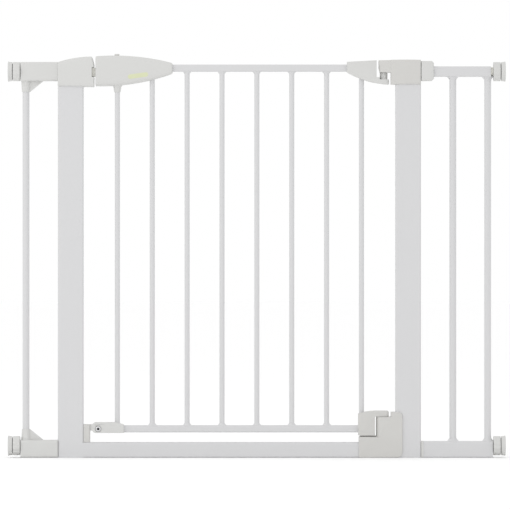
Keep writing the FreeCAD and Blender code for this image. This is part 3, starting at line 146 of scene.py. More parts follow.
class GateStage(bpy.types.PropertyGroup):
    """Camera and light."""

    distance: length("Camera distance", "From the gate's middle plane", 9000)
    width: length("Field width", "Width seen at the gate's middle plane", 936.2)
    eye_x: length("Eye across", "Camera's place across the gate", -3.2)
    eye_z: length("Eye height", "Camera's height over the floor", 371.4)
    sky: FloatProperty(name="Sky", description="Strength of the even white surround", default=1.0)
    key: FloatProperty(name="Key", description="Power of the soft light from the upper left",
                       default=17.0, subtype="POWER", unit="POWER")
    key_size: length("Key size", "Side of the square soft light", 2200)
    floor_size: length("Floor size", "Side of the square floor", 60000)


def sizes():
    """The gate's size settings."""
    return bpy.context.scene.gate_sizes


def colours():
    """The gate's colour settings."""
    return bpy.context.scene.gate_colours


# --- Nodes ---
def add(tree, kind, settings=None, links=None):
    """Adds a node: lower-case settings are its own, the others are its inputs."""
    node = tree.nodes.new(kind)
    for key, value in (settings or {}).items():
        if isinstance(key, str) and key[0].islower():
            setattr(node, key, value)
        else:
            node.inputs[key].default_value = value
    for key, source in (links or {}).items():
        tree.links.new(source, node.inputs[key])
    return node


# --- Finishes ---
def finish(name, base, roughness, grain, relief, tone_size, tone, gloss_spread=0.05,
           metallic=0.0, specular=0.5):
    """Surface with a fine relief, a gloss that wanders and a faint drift of tone.

    The grain, the relief and tone_size are in millimetres.
    """
    if name in bpy.data.materials:
        return bpy.data.materials[name]
    material = bpy.data.materials.new(name)
    material.use_nodes = True
    tree = material.node_tree
    shader = tree.nodes["Principled BSDF"].inputs
    shader["Metallic"].default_value = metallic
    shader["Specular IOR Level"].default_value = specular
    place = add(tree, "ShaderNodeTexCoord").outputs["Object"]
    fine = add(tree, "ShaderNodeTexNoise", {"Scale": 1 / (grain * MM), "Detail": 3.0,
                                            "Roughness": 0.55}, {"Vector": place}).outputs[0]
    broad = add(tree, "ShaderNodeTexNoise", {"Scale": 1 / (tone_size * MM), "Detail": 2.0},
                {"Vector": place}).outputs[0]
    darker = [channel * (1 - tone) for channel in base]
    lighter = [min(1.0, channel * (1 + tone)) for channel in base]
    drift = add(tree, "ShaderNodeMix", {"data_type": "RGBA", 6: (*darker, 1), 7: (*lighter, 1)},
                {0: broad})
    tree.links.new(drift.outputs[2], shader["Base Color"])
    gloss = add(tree, "ShaderNodeMapRange", {"To Min": roughness - gloss_spread,
                                             "To Max": roughness + gloss_spread}, {"Value": broad})
    tree.links.new(gloss.outputs[0], shader["Roughness"])
    bump = add(tree, "ShaderNodeBump", {"Strength": 1.0, "Distance": relief * MM}, {"Height": fine})
    tree.links.new(bump.outputs[0], shader["Normal"])
    return material


def powder_coat():
    """Mild steel with baked polyester powder: satin, with the low waves called orange peel."""
    return finish("powder_coated_mild_steel", colours().coat, 0.42, grain=2.6, relief=0.035,
                  tone_size=120.0, tone=0.012)


def moulding():
    """Injection-moulded polypropylene from a spark-eroded mould: matt, with a fine even grain."""
    return finish("moulded_polypropylene", colours().moulding, 0.5, grain=0.9, relief=0.02,
                  tone_size=60.0, tone=0.012)


def white_nylon():
    """Moulded nylon: harder and a little darker and warmer than the polypropylene beside it."""
    return finish("moulded_white_nylon", colours().nylon, 0.46, grain=1.1, relief=0.018,
                  tone_size=40.0, tone=0.015)


def natural_nylon():
    """Undyed nylon: milky off-white, with a waxy low gloss from a polished mould."""
    return finish("natural_nylon", colours().natural, 0.38, grain=1.6, relief=0.01,
                  tone_size=25.0, tone=0.02)


def rubber():
    """Compression-moulded rubber: dull and slightly dusty."""
    return finish("moulded_grey_rubber", colours().rubber, 0.82, grain=0.6, relief=0.03,
                  tone_size=12.0, tone=0.06, specular=0.3)


def zinc_plate():
    """Zinc-plated steel: bright, with a soft mottle from the plating bath."""
    return finish("zinc_plated_steel", colours().zinc, 0.3, grain=0.8, relief=0.008,
                  tone_size=6.0, tone=0.05, gloss_spread=0.08, metallic=1.0)


def socket_shade_paint():
    """Painted shade for the inside of a screw's socket: a dark, dull colour that stands in for the
    shade in the recess.
    """
    return finish("oiled_bare_steel", colours().oily, 0.6, grain=0.5, relief=0.01,
                  tone_size=3.0, tone=0.08, specular=0.3)


def spring_wire():
    """Cold-drawn spring wire: darker steel with a very fine grain."""
    return finish("drawn_spring_wire", colours().wire, 0.36, grain=0.4, relief=0.01,
                  tone_size=4.0, tone=0.06, metallic=1.0)


def print_ink():
    """Pad-printed ink: a thin even film, a little glossier than the plastic under it."""
    return finish("pad_printed_ink", colours().ink, 0.4, grain=0.9, relief=0.008,
                  tone_size=9.0, tone=0.03)


def studio_paper():
    """Matt white background paper laid on the floor."""
    return finish("matt_studio_paper", colours().paper, 0.9, grain=3.0, relief=0.01,
                  tone_size=2000.0, tone=0.002, specular=0.2)


# --- Mesh tools ---
def new_object(name, data):
    """New object in the scene."""
    item = bpy.data.objects.new(name, data)
    bpy.context.scene.collection.objects.link(item)
    return item


def smooth(piece):
    """Smooth shading that keeps the sharp edges."""
    piece.data.shade_smooth()
    piece.data.set_sharp_from_angle(angle=SHARP_EDGE)
    return piece


def put_in_scene(name, bm, material):
    """Object from a bmesh."""
    mesh = bpy.data.meshes.new(name)
    bm.to_mesh(mesh)
    bm.free()
    mesh.materials.append(material)
    return smooth(new_object(name, mesh))


def made(name, bm, material):
    """Object from a bmesh whose faces are first turned outward."""
    bmesh.ops.recalc_face_normals(bm, faces=bm.faces)
    return put_in_scene(name, bm, material)


def settle(piece):
    """Turns a piece and its modifiers into a plain mesh."""
    graph = bpy.context.evaluated_depsgraph_get()
    mesh = bpy.data.meshes.new_from_object(piece.evaluated_get(graph))
    piece.modifiers.clear()
    piece.data = mesh
    return smooth(piece)


def skin(rings, closed_loop=False):
    """Bmesh through rings of points, with flat ends unless the last ring joins the first."""
    bm = bmesh.new()
    rows = [[bm.verts.new(point) for point in ring] for ring in rings]
    pairs = list(zip(rows, rows[1:]))
    if closed_loop:
        pairs.append((rows[-1], rows[0]))
    for one, other in pairs:
        for place, vertex in enumerate(one):
            after = (place + 1) % len(one)
            bm.faces.new((vertex, one[after], other[after], other[place]))
    if not closed_loop:
        bm.faces.new(rows[0])
        bm.faces.new(rows[-1])
    return bm


def turned(name, stations, origin, direction, material, steps=72, closed_loop=False, flutes=0):
    """Solid of revolution from an origin along a direction.

    Its stations are (along, radius) or (along, radius, flute depth) in millimetres.
    """
    rings = []
    for along, radius, *depth in stations:
        ring = []
        for step in range(steps):
            angle = 2 * pi * step / steps
            scallop = (0.5 + 0.5 * cos(flutes * angle)) ** 2
            reach = (radius - sum(depth) * scallop) * MM
            ring.append((reach * cos(angle), reach * sin(angle), along * MM))
        rings.append(ring)
    bm = skin(rings, closed_loop)
    turn = Matrix()
    if direction != UP:
        turn = Vector(direction).to_track_quat("Z", "Y").to_matrix().to_4x4()
    bmesh.ops.transform(bm, matrix=Matrix.Translation(origin) @ turn, verts=bm.verts)
    return made(name, bm, material)


def brick(name, *ranges, material=None):
    """Box between two places on X, Y and Z, used to cut or as a strip."""
    bm = bmesh.new()
    bmesh.ops.create_cube(bm, size=1.0)
    low, high = (Vector([pick(span) for span in ranges]) for pick in (min, max))
    matrix = Matrix.Translation((low + high) / 2) @ Matrix.Diagonal((*(high - low), 1.0))
    bmesh.ops.transform(bm, matrix=matrix, verts=bm.verts)
    return made(name, bm, material or moulding())


def cut(piece, cutters, lined=False):
    """Takes the cutters out of a piece and removes them; lined cuts keep the cutter's finish."""
    for cutter in cutters:
        modifier = piece.modifiers.new("Cut", "BOOLEAN")
        modifier.solver = "EXACT"
        modifier.material_mode = "TRANSFER" if lined else "INDEX"
        modifier.object = cutter
    settle(piece)
    for cutter in cutters:
        bpy.data.objects.remove(cutter)
    return piece


def join(piece, others):
    """Joins other pieces into one."""
    bm = bmesh.new()
    for each in [piece] + others:
        bm.from_mesh(each.data)
    bm.to_mesh(piece.data)
    bm.free()
    for other in others:
        bpy.data.objects.remove(other)
    return smooth(piece)


def fit(piece, body, *nodes, slot=PLASTIC):
    """Lets a finished piece ride on its body and stand for its CAD nodes."""
    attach(piece, body)
    if nodes:
        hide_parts(*nodes)


# --- CAD nodes ---
def paint(nodes, material):
    """Gives CAD nodes their material."""
    for node in nodes:
        mesh = frame["nodes"][node].data
        mesh.materials.clear()
        mesh.materials.append(material)


def middle(node):
    """Middle of a CAD node's box."""
    low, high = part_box(node)
    return (low + high) / 2


def travel(name):
    """Upper limit of a sliding joint."""
    return next(joint for joint in frame["joints"] if joint["name"] == name)["range_m"][1]


def merged(node):
    """Bmesh of a CAD node, with the vertices that share a place made one."""
    bm = bmesh.new()
    bm.from_mesh(frame["nodes"][node].data)
    bmesh.ops.remove_doubles(bm, verts=bm.verts, dist=SAME_PLACE)
    return bm


def softened_copy(node, name, material, width=None):
    """Copy of a CAD node, with its flat faces whole again and its edges rounded."""
    bm = merged(node)
    bmesh.ops.dissolve_limit(bm, angle_limit=FLAT, verts=bm.verts, edges=bm.edges)
    piece = put_in_scene(name, bm, material)
    bevel = piece.modifiers.new("Soft edges", "BEVEL")
    bevel.width = width or sizes().edge
    bevel.segments = 3
    bevel.limit_method = "ANGLE"
    bevel.angle_limit = ROUNDED_EDGE
    return settle(piece)


def soft_piece(node, name, material, body, slot=PLASTIC, width=None):
    """Softened copy of a CAD node in the node's place."""
    fit(softened_copy(node, name, material, width), body, node, slot=slot)


def solids_of(node):
    """Boxes of the separate solids in a CAD node, as (low, high) pairs."""
    bm = merged(node)
    left = set(bm.verts)
    boxes = []
    while left:
        group, waiting = set(), [min(left, key=lambda vertex: vertex.index)]
        while waiting:
            vertex = waiting.pop()
            if vertex in group:
                continue
            group.add(vertex)
            waiting += [edge.other_vert(vertex) for edge in vertex.link_edges]
        left -= group
        spans = list(zip(*(vertex.co for vertex in group)))
        boxes.append([Vector([pick(span) for span in spans]) for pick in (min, max)])
    bm.free()
    return boxes


# --- Geometry Nodes ---
def math_node(tree, operation, *values):
    """Output of a Math node whose inputs are numbers or links."""
    node = add(tree, "ShaderNodeMath", {"operation": operation})
    for place, value in enumerate(values):
        if isinstance(value, (int, float)):
            node.inputs[place].default_value = value
        else:
            tree.links.new(value, node.inputs[place])
    return node.outputs[0]


def place_nodes(tree, given):
    """Copies of a shape on points, each along its own direction and size."""
    facing = add(tree, "GeometryNodeInputNamedAttribute",
                 {"data_type": "FLOAT_VECTOR", "Name": "facing"})
    turn = add(tree, "FunctionNodeAlignRotationToVector", {"axis": "Z"},
               {"Vector": facing.outputs[0]})
    shape = add(tree, "GeometryNodeObjectInfo", {"transform_space": "ORIGINAL"},
                {"Object": given["Shape"]})
    least = math_node(tree, "SUBTRACT", 1.0, given["Size Spread"])
    most = math_node(tree, "ADD", 1.0, given["Size Spread"])
    size = add(tree, "FunctionNodeRandomValue", {"data_type": "FLOAT"},
               {2: least, 3: most, "Seed": given["Seed"]})
    points = add(tree, "GeometryNodeMeshToPoints", links={0: given["Geometry"]})
    return add(tree, "GeometryNodeInstanceOnPoints", links={
        "Points": points.outputs[0], "Instance": shape.outputs["Geometry"],
        "Rotation": turn.outputs[0], "Scale": size.outputs[1]}).outputs[0]


def thread_nodes(tree, given):
    """Threaded rod along its own Z, cut back at both ends."""
    def calc(operation, *values):
        return math_node(tree, operation, *values)

    radius, run, pitch = given["Radius"], given["Length"], given["Pitch"]
    rings_per_turn = 8.0
    rings = calc("CEIL", calc("MULTIPLY", calc("DIVIDE", run, pitch), rings_per_turn))
    rod = add(tree, "GeometryNodeMeshCylinder", {"Vertices": 40},
              {"Side Segments": rings, "Radius": radius, "Depth": run})
    spot = add(tree, "ShaderNodeSeparateXYZ", links={
        0: add(tree, "GeometryNodeInputPosition").outputs[0]}).outputs
    angle = calc("DIVIDE", calc("ARCTAN2", spot[1], spot[0]), 2 * pi)
    phase = calc("FRACT", calc("SUBTRACT", calc("DIVIDE", spot[2], pitch), angle))
    flank = calc("ABSOLUTE", calc("SUBTRACT", calc("MULTIPLY", phase, 2.0), 1.0))
    from_end = calc("SUBTRACT", calc("MULTIPLY", run, 0.5), calc("ABSOLUTE", spot[2]))
    ending = calc("SUBTRACT", 1.0, calc("MINIMUM", calc("DIVIDE", from_end, pitch), 1.0))
    groove = calc("MULTIPLY", calc("MAXIMUM", flank, ending), given["Depth"])
    share = calc("SUBTRACT", 1.0, calc("DIVIDE", groove, radius))
    moved = add(tree, "ShaderNodeCombineXYZ", links={
        0: calc("MULTIPLY", spot[0], share), 1: calc("MULTIPLY", spot[1], share), 2: spot[2]})
    cut_rod = add(tree, "GeometryNodeSetPosition", links={
        "Geometry": rod.outputs[0], "Position": moved.outputs[0]})
    return add(tree, "GeometryNodeTransform", links={
        "Geometry": cut_rod.outputs[0], "Translation": given["Origin"],
        "Rotation": given["Turn"]}).outputs[0]


def rib_nodes(tree, given):
    """Row of half-round ribs across a button, from one point to another."""
    row = add(tree, "GeometryNodeCurvePrimitiveLine", links={
        "Start": given["Start"], "End": given["End"]})
    points = add(tree, "GeometryNodeCurveToPoints", {"mode": "COUNT"}, {
        "Curve": row.outputs[0], "Count": given["Ribs"]})
    rib = add(tree, "GeometryNodeMeshCylinder", {"Vertices": 16}, {
        "Radius": given["Rib Radius"], "Depth": given["Rib Width"]})
    return add(tree, "GeometryNodeInstanceOnPoints", {"Rotation": (radians(90), 0, 0)}, {
        "Points": points.outputs[0], "Instance": rib.outputs[0]}).outputs[0]


TREES = {
    "Shapes on places": (place_nodes, {"Shape": "Object", "Size Spread": "Float", "Seed": "Int"}),
    "Threaded rod": (thread_nodes, {"Radius": "Float", "Length": "Float", "Pitch": "Float",
                                    "Depth": "Float", "Origin": "Vector", "Turn": "Vector"}),
    "Grip ribs": (rib_nodes, {"Start": "Vector", "End": "Vector", "Ribs": "Int",
                              "Rib Width": "Float", "Rib Radius": "Float"}),
}


def node_tree(name):
    """One of the trees, made once: named inputs, its nodes, real instances and a material."""
    if name in bpy.data.node_groups:
        return bpy.data.node_groups[name]
    nodes, inputs = TREES[name]
    tree = bpy.data.node_groups.new(name, "GeometryNodeTree")
    sockets = tree.interface
    sockets.new_socket("Geometry", in_out="INPUT", socket_type="NodeSocketGeometry")
    for label, kind in {**inputs, "Material": "Material"}.items():
        sockets.new_socket(label, in_out="INPUT", socket_type="NodeSocket" + kind)
    sockets.new_socket("Geometry", in_out="OUTPUT", socket_type="NodeSocketGeometry")
    given = add(tree, "NodeGroupInput").outputs
    real = add(tree, "GeometryNodeRealizeInstances", links={"Geometry": nodes(tree, given)})
    painted = add(tree, "GeometryNodeSetMaterial", links={
        "Geometry": real.outputs[0], "Material": given["Material"]})
    tree.links.new(painted.outputs[0], add(tree, "NodeGroupOutput").inputs[0])
    return tree


def grow(name, tree_name, material, values, spots=()):
    """Plain mesh object from a node tree, on (place, facing) spots if the tree takes them."""
    mesh = bpy.data.meshes.new(name)
    mesh.from_pydata([tuple(place) for place, facing in spots], [], [])
    if spots:
        facings = mesh.attributes.new("facing", "FLOAT_VECTOR", "POINT")
        facings.data.foreach_set("vector", [number for place, facing in spots for number in facing])
    piece = new_object(name, mesh)
    modifier = piece.modifiers.new("Growth", "NODES")
    modifier.node_group = node_tree(tree_name)
    values = {**values, "Material": material}
    for item in modifier.node_group.interface.items_tree:
        if item.in_out == "INPUT" and item.name in values:
            modifier[item.identifier] = values[item.name]
    return settle(piece)


# --- Shells ---
class Shell:
    """Moulded shell along X: height, depth and how square its section is."""

    ring_steps = 40
    body_steps = 36
    end_steps = 4

    def __init__(self, x_range, low, high, depth, powers, rounds):
        self.x0, self.x1 = x_range
        self.low, self.high, self.depth = low, high, depth
        self.powers, self.rounds = powers, rounds

    def share(self, x):
        """How far along the shell a place is, from 0 to 1."""
        return (x - self.x0) / (self.x1 - self.x0)

    def depth_at(self, x, z):
        """Depth of the outer surface at a place on the face."""
        t = self.share(x)
        low, high = self.low(t), self.high(t)
        away = (z - (low + high) / 2) / ((high - low) / 2)
        power = self.powers[0] if away > 0 else self.powers[1]
        return self.depth(t) * max(0.0, 1 - abs(away) ** power) ** (1 / power)

    def places(self):
        """(x, inset) along the shell, closer together round its ends."""
        start, end = self.rounds
        angles = [pi / 2 * step / self.end_steps for step in range(self.end_steps + 1)]
        first = [(self.x0 + start * (1 - cos(a)), start * (1 - sin(a))) for a in angles]
        last = [(self.x1 - end * (1 - cos(a)), end * (1 - sin(a))) for a in angles]
        run = (self.x1 - end) - (self.x0 + start)
        body = [(self.x0 + start + run * step / self.body_steps, 0.0)
                for step in range(1, self.body_steps)]
        return first + body + last[::-1]

    def ring(self, x, inset, side):
        """Half section, from the seam at the top round the outside to the seam below."""
        t = self.share(x)
        low, high = self.low(t) + inset, self.high(t) - inset
        centre, half_height, depth = (low + high) / 2, (high - low) / 2, self.depth(t) - inset
        seam = sizes().seam
        points = [(x, 0, high - seam)]
        for step in range(self.ring_steps + 1):
            angle = pi * (0.5 - step / self.ring_steps)
            rise, out = sin(angle), max(0.0, cos(angle))
            power = 2 / (self.powers[0] if rise > 0 else self.powers[1])
            y = max(seam, depth * out ** power)
            z = centre + copysign(half_height * abs(rise) ** power, rise)
            points.append((x, side * y, z))
        points.append((x, 0, low + seam))
        return points

    def half(self, name, side, material):
        """Front (-1) or rear (1) half of the shell, closed along the seam."""
        return made(name, skin([self.ring(x, inset, side) for x, inset in self.places()]), material)


def bowed(start, end, bow):
    """Function of the share along a line that bows out by an amount at its middle."""
    return lambda t: start + (end - start) * t + 4 * bow * t * (1 - t)


def handle_shell():
    """The handle's shell, from the latch to its tip on the rail."""
    size = sizes()
    low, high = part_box("handle_front")
    axis = middle("door_top_rail").z
    under = bowed(axis - size.handle_down, axis - size.handle_tip_down, -size.handle_bottom_bow)
    over = bowed(axis + size.handle_up, axis + size.handle_tip_up, size.handle_top_bow)
    return Shell((low.x, high.x), under, over, lambda t: -low.y - size.handle_taper * t * t,
                 powers=(4.6, 4.6), rounds=(1.6 * MM, 3.0 * MM))


def housing_shell():
    """The latch housing's shell, with a slant at the top of its right end."""
    size = sizes()
    low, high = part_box("latch_housing_front")
    post_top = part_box("left_post")[1].z
    nose_start = 1 - size.housing_nose / (high.x - low.x)
    rise = bowed(post_top + size.housing_left, high.z, size.housing_bow)
    foot_slant = 1.5 * MM

    def top(t):
        if t <= nose_start:
            return min(high.z, rise(t / nose_start))
        return high.z - size.housing_drop * (t - nose_start) / (1 - nose_start)

    return Shell((low.x, high.x), bowed(low.z + foot_slant, low.z, 0), top, lambda t: -low.y,
                 powers=(5.0, 9.0), rounds=(1.0 * MM, 0.8 * MM))


def screw_seats(node, shell):
    """Seat of each of a node's screws, and whether it is in the shell or in a flat cover."""
    size = sizes()
    for low, high in solids_of(node):
        x, z = (low.x + high.x) / 2, (low.z + high.z) / 2
        in_shell = shell.x0 < x < shell.x1
        face = shell.depth_at(x, z) if in_shell else high.y + size.screw_sink
        yield (x, face - size.screw_sink - size.screw_height, z), in_shell


def screw_pockets(node, shell):
    """Cutters for the countersunk pockets of the screws in a shell."""
    radius = sizes().screw_radius / MM + 0.5
    return [turned("pocket", [(0, radius), (10, radius)], seat, REARWARD, moulding())
            for seat, in_shell in screw_seats(node, shell) if in_shell]


def fit_halves(shell, name, body, room, screws, more=None):
    """Front and rear halves of a shell, with room inside and pockets for the rear's screws."""
    for end, side in (("front", FRONT), ("rear", REAR)):
        piece = shell.half("%s_%s_shell" % (name, end), side, moulding())
        cut(piece, room() + (screw_pockets(screws, shell) if side == REAR else []))
        if more:
            join(piece, [more(side)])
        fit(piece, body, "%s_%s" % (name, end))


# --- Operators ---
class GATE_OT_steelwork(bpy.types.Operator):
    """Powder-coats the tubes and lays a weld bead round each bar's end"""

    bl_idname = "gate.steelwork"
    bl_label = "Steelwork"

    ripples = ((0.07, 9, 0), (0.05, 5, 1))  # share of the bead's size, waves round it, start

    def bead(self, bar_radius):
        """Ring of weld: hollow in section, longer along the rail than across it."""
        size = sizes()
        steps, profile_steps = 48, 5
        inner, under = bar_radius - 0.4 * MM, -1.2 * MM
        longest = size.weld_reach * bar_radius
        rings = []
        for step in range(steps):
            angle = 2 * pi * step / steps
            along = cos(angle) ** 2
            ripple = 1 + sum(share * sin(waves * angle + start)
                             for share, waves, start in self.ripples)
            reach = (size.weld_side + (longest - size.weld_side) * along) * ripple
            height = size.weld_height * bar_radius * (0.75 + 0.25 * along) * ripple
            profile = [(inner, height), (inner, under), (bar_radius + reach, under)]
            for part in range(profile_steps + 1):
                share = part / profile_steps
                profile.append((bar_radius + reach * (1 - share), height * share ** 1.6))
            rings.append([(r * cos(angle), r * sin(angle), z) for r, z in profile])
        return made("bead", skin(rings, closed_loop=True), powder_coat())

    def weld(self, name, spots, bar, body):
        """Beads round the ends of bars of one size, as one piece."""
        low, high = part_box(bar)
        bead = self.bead((high.x - low.x) / 2)
        piece = grow(name, "Shapes on places", powder_coat(),
                     {"Shape": bead, "Size Spread": 0.02, "Seed": 7}, spots)
        bpy.data.objects.remove(bead)
        fit(piece, body, slot=STEEL)

    def ground_weld(self, post, side):
        """Strips of weld ground flush where the threshold meets a post's rounded corner."""
        low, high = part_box(post)
        rail_low, rail_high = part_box("threshold_rail")
        edge = high.x if side > 0 else low.x
        corner, overlap, under_face = 3.2 * MM, 0.4 * MM, 0.04 * MM
        foot_gap, top_gap = 0.6 * MM, 1.2 * MM
        strips = [brick("strip", (edge - side * corner, edge + side * overlap),
                        (face * (high.y - under_face), face * (high.y - corner)),
                        (rail_low.z + foot_gap, rail_high.z - top_gap), material=powder_coat())
                  for face in (FRONT, REAR)]
        piece = join(strips[0], strips[1:])
        piece.name = piece.data.name = "ground_weld_" + post
        fit(piece, "frame", slot=STEEL)

    def execute(self, context):
        paint(STEEL_NODES, powder_coat())
        self.ground_weld("left_post", 1)
        self.ground_weld("right_post", -1)
        door, extension = [], []
        rail_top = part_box("door_bottom_rail")[1].z
        rail_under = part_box("door_top_rail")[0].z
        for number in range(2, 8):
            x = middle("door_bar_%d" % number).x
            door.append(((x, 0, rail_top), UP))
            if number > 2:
                door.append(((x, 0, rail_under), DOWN))
        for place in ("inner", "outer"):
            low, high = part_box("right_extension_bar_" + place)
            x = (low.x + high.x) / 2
            extension += [((x, 0, low.z), UP), ((x, 0, high.z), DOWN)]
        self.weld("door_bar_welds", door, "door_bar_3", "door")
        self.weld("extension_bar_welds", extension, "right_extension_bar_inner", "frame")
        return {"FINISHED"}


class GATE_OT_handle(bpy.types.Operator):
    """Makes the handle's two crowned shells, its bar socket and its printed stroke"""

    bl_idname = "gate.handle"
    bl_label = "Handle"

    stroke_start = (63.5 * MM, -16.0 * MM)  # from the handle's end and from the rail's axis
    stroke_end = (92.5 * MM, -12.0 * MM)

    def room(self):
        """Cutters for the bolt, the button and the button's plate."""
        bolt_low, bolt_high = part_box("latch_bolt")
        button_low, button_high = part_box("release_button")
        handle_low, handle_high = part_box("handle_front")
        spring_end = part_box("latch_spring")[1].x
        spare, neck, roof = 0.3 * MM, 7 * MM, 4.2 * MM
        lip, slot_depth, over = 2 * MM - spare, 6 * MM, 5 * MM
        plate = (button_low.x - spare, button_high.x + travel("button_slide") + spare)
        return [
            brick("bolt_room", (handle_low.x - OVERSHOOT, spring_end + spare),
                  (bolt_low.y - spare, bolt_high.y + spare),
                  (bolt_low.z - spare, bolt_high.z + spare)),
            brick("plate_room", plate, (button_low.y - spare, button_high.y + spare),
                  (bolt_high.z, handle_high.z - roof)),
            brick("button_slot", (plate[0] + neck, plate[1] - neck),
                  (button_low.y + lip, button_high.y - lip),
                  (handle_high.z - slot_depth, button_high.z + over)),
        ]

    def socket(self, side):
        """Half of the tapered socket that takes the first bar."""
        size = sizes()
        steps, lip, run, depth = 24, 0.5 * MM, 9 * MM, 14 * MM
        bar = middle("door_bar_1")
        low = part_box("handle_front")[0]
        stations = [(0, size.socket_tip - lip), (lip, size.socket_tip),
                    (run, size.socket_root - 0.3 * MM), (depth, size.socket_root + 2.5 * MM)]
        rings = []
        for rise, radius in stations:
            z = low.z + rise
            ring = [(bar.x - radius + size.seam, 0, z)]
            for step in range(steps + 1):
                angle = pi * step / steps
                out = max(size.seam, radius * sin(angle))
                ring.append((bar.x - radius * cos(angle), side * out, z))
            ring.append((bar.x + radius - size.seam, 0, z))
            rings.append(ring)
        return made("socket", skin(rings), moulding())

    def stroke(self, shell):
        """Thin printed stroke with round ends that follows the front shell."""
        axis = middle("door_top_rail").z
        start, end = (Vector((shell.x0 + x, 0, axis + z))
                      for x, z in (self.stroke_start, self.stroke_end))
        run = end - start
        across = Vector((-run.z, 0, run.x)).normalized()
        half_width, film, steps, columns = 4.1 * MM, 0.06 * MM, 40, 8
        total = run.length + 2 * half_width
        rings = []
        for step in range(1, steps):
            along = total * (1 - cos(pi * step / steps)) / 2 - half_width
            over = max(0.0, -along, along - run.length)
            reach = sqrt(max(0.0, half_width ** 2 - over ** 2))
            spine = start + run.normalized() * along
            row = [spine + across * reach * (2 * part / columns - 1) for part in range(columns + 1)]
            outer, inner = ([(p.x, -shell.depth_at(p.x, p.z) + lift, p.z) for p in row]
                            for lift in (-film, film))
            rings.append(outer + inner[::-1])
        return made("handle_printed_stroke", skin(rings), print_ink())

    def execute(self, context):
        shell = handle_shell()
        fit_halves(shell, "handle", "door", self.room, "handle_screws", self.socket)
        fit(self.stroke(shell), "door")
        return {"FINISHED"}


class GATE_OT_latch_housing(bpy.types.Operator):
    """Makes the latch housing's two shells on the left post"""

    bl_idname = "gate.latch_housing"
    bl_label = "Latch housing"

    def room(self):
        """Cutters for the post, the notch in the edge and the bolt's slot."""
        bolt_low, bolt_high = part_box("latch_bolt")
        post_low, post_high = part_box("left_post")
        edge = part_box("latch_housing_front")[1].x
        spare, skin_gap, post_depth = 0.5 * MM, 0.05 * MM, 60 * MM
        notch_depth, notch_half, behind = 4 * MM, 20 * MM, 2 * MM
        return [
            brick("post_room", (post_low.x - OVERSHOOT, post_high.x + skin_gap),
                  (post_low.y - skin_gap, post_high.y + skin_gap),
                  (post_high.z - post_depth, post_high.z + skin_gap)),
            brick("notch", (edge - notch_depth, edge + OVERSHOOT), (-notch_half, notch_half),
                  (bolt_low.z - 2 * spare, bolt_high.z + 2 * spare)),
            brick("slot", (bolt_low.x - behind, edge + OVERSHOOT),
                  (bolt_low.y - spare, bolt_high.y + spare),
                  (bolt_low.z - spare, bolt_high.z + travel("door_lift") + spare)),
        ]

    def execute(self, context):
        fit_halves(housing_shell(), "latch_housing", "frame", self.room, "frame_cover_screws")
        return {"FINISHED"}


class GATE_OT_latch_parts(bpy.types.Operator):
    """Makes the ribbed release button and finishes the bolt and its spring"""

    bl_idname = "gate.latch_parts"
    bl_label = "Release button and bolt"

    def execute(self, context):
        rib_height, row_half = sizes().rib_height, 3.0 * MM
        button = softened_copy("release_button", "release_button_nub", white_nylon(), 0.4 * MM)
        x, top = middle("release_button").x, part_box("release_button")[1].z
        ribs = grow("ribs", "Grip ribs", white_nylon(), {
            "Start": (x - row_half, 0, top), "End": (x + row_half, 0, top),
            "Ribs": 5, "Rib Width": 8.4 * MM, "Rib Radius": rib_height})
        ribs.data.transform(Matrix.Translation((0, 0, -rib_height)))
        join(button, [ribs])
        fit(button, "latch_slide", "release_button")
        soft_piece("latch_bolt", "sliding_latch_bolt", natural_nylon(), "latch_slide",
                   slot="grey_nylon", width=0.5 * MM)
        paint(["latch_spring"], spring_wire())
        return {"FINISHED"}


class GATE_OT_hinges(bpy.types.Operator):
    """Makes the hinge mouldings with soft edges and finishes the pins and the bush"""

    bl_idname = "gate.hinges"
    bl_label = "Hinges"

    def execute(self, context):
        for node in ("hinge_cover_front", "hinge_cover_rear"):
            soft_piece(node, node + "_shell", white_nylon(), "frame")
        soft_piece("door_hinge_upper", "upper_hinge_arm", moulding(), "door")
        soft_piece("door_hinge_lower", "lower_hinge_arm", white_nylon(), "door")
        soft_piece("lower_hinge_block", "lower_hinge_saddle", white_nylon(), "frame")
        paint(["upper_hinge_pin", "lower_hinge_pin"], zinc_plate())
        paint(["lower_hinge_bush"], natural_nylon())
        return {"FINISHED"}


class GATE_OT_extensions(bpy.types.Operator):
    """Makes the left extension's sleeves and the right extension's collars"""

    bl_idname = "gate.extensions"
    bl_label = "Extension mouldings"

    def execute(self, context):
        for node in ("left_extension_top_sleeve", "left_extension_bottom_sleeve",
                     "right_extension_top_collar", "right_extension_bottom_collar"):
            soft_piece(node, node + "_moulding", moulding(), "frame")
        paint(["extension_spigots", "spindle_nuts"], natural_nylon())
        return {"FINISHED"}


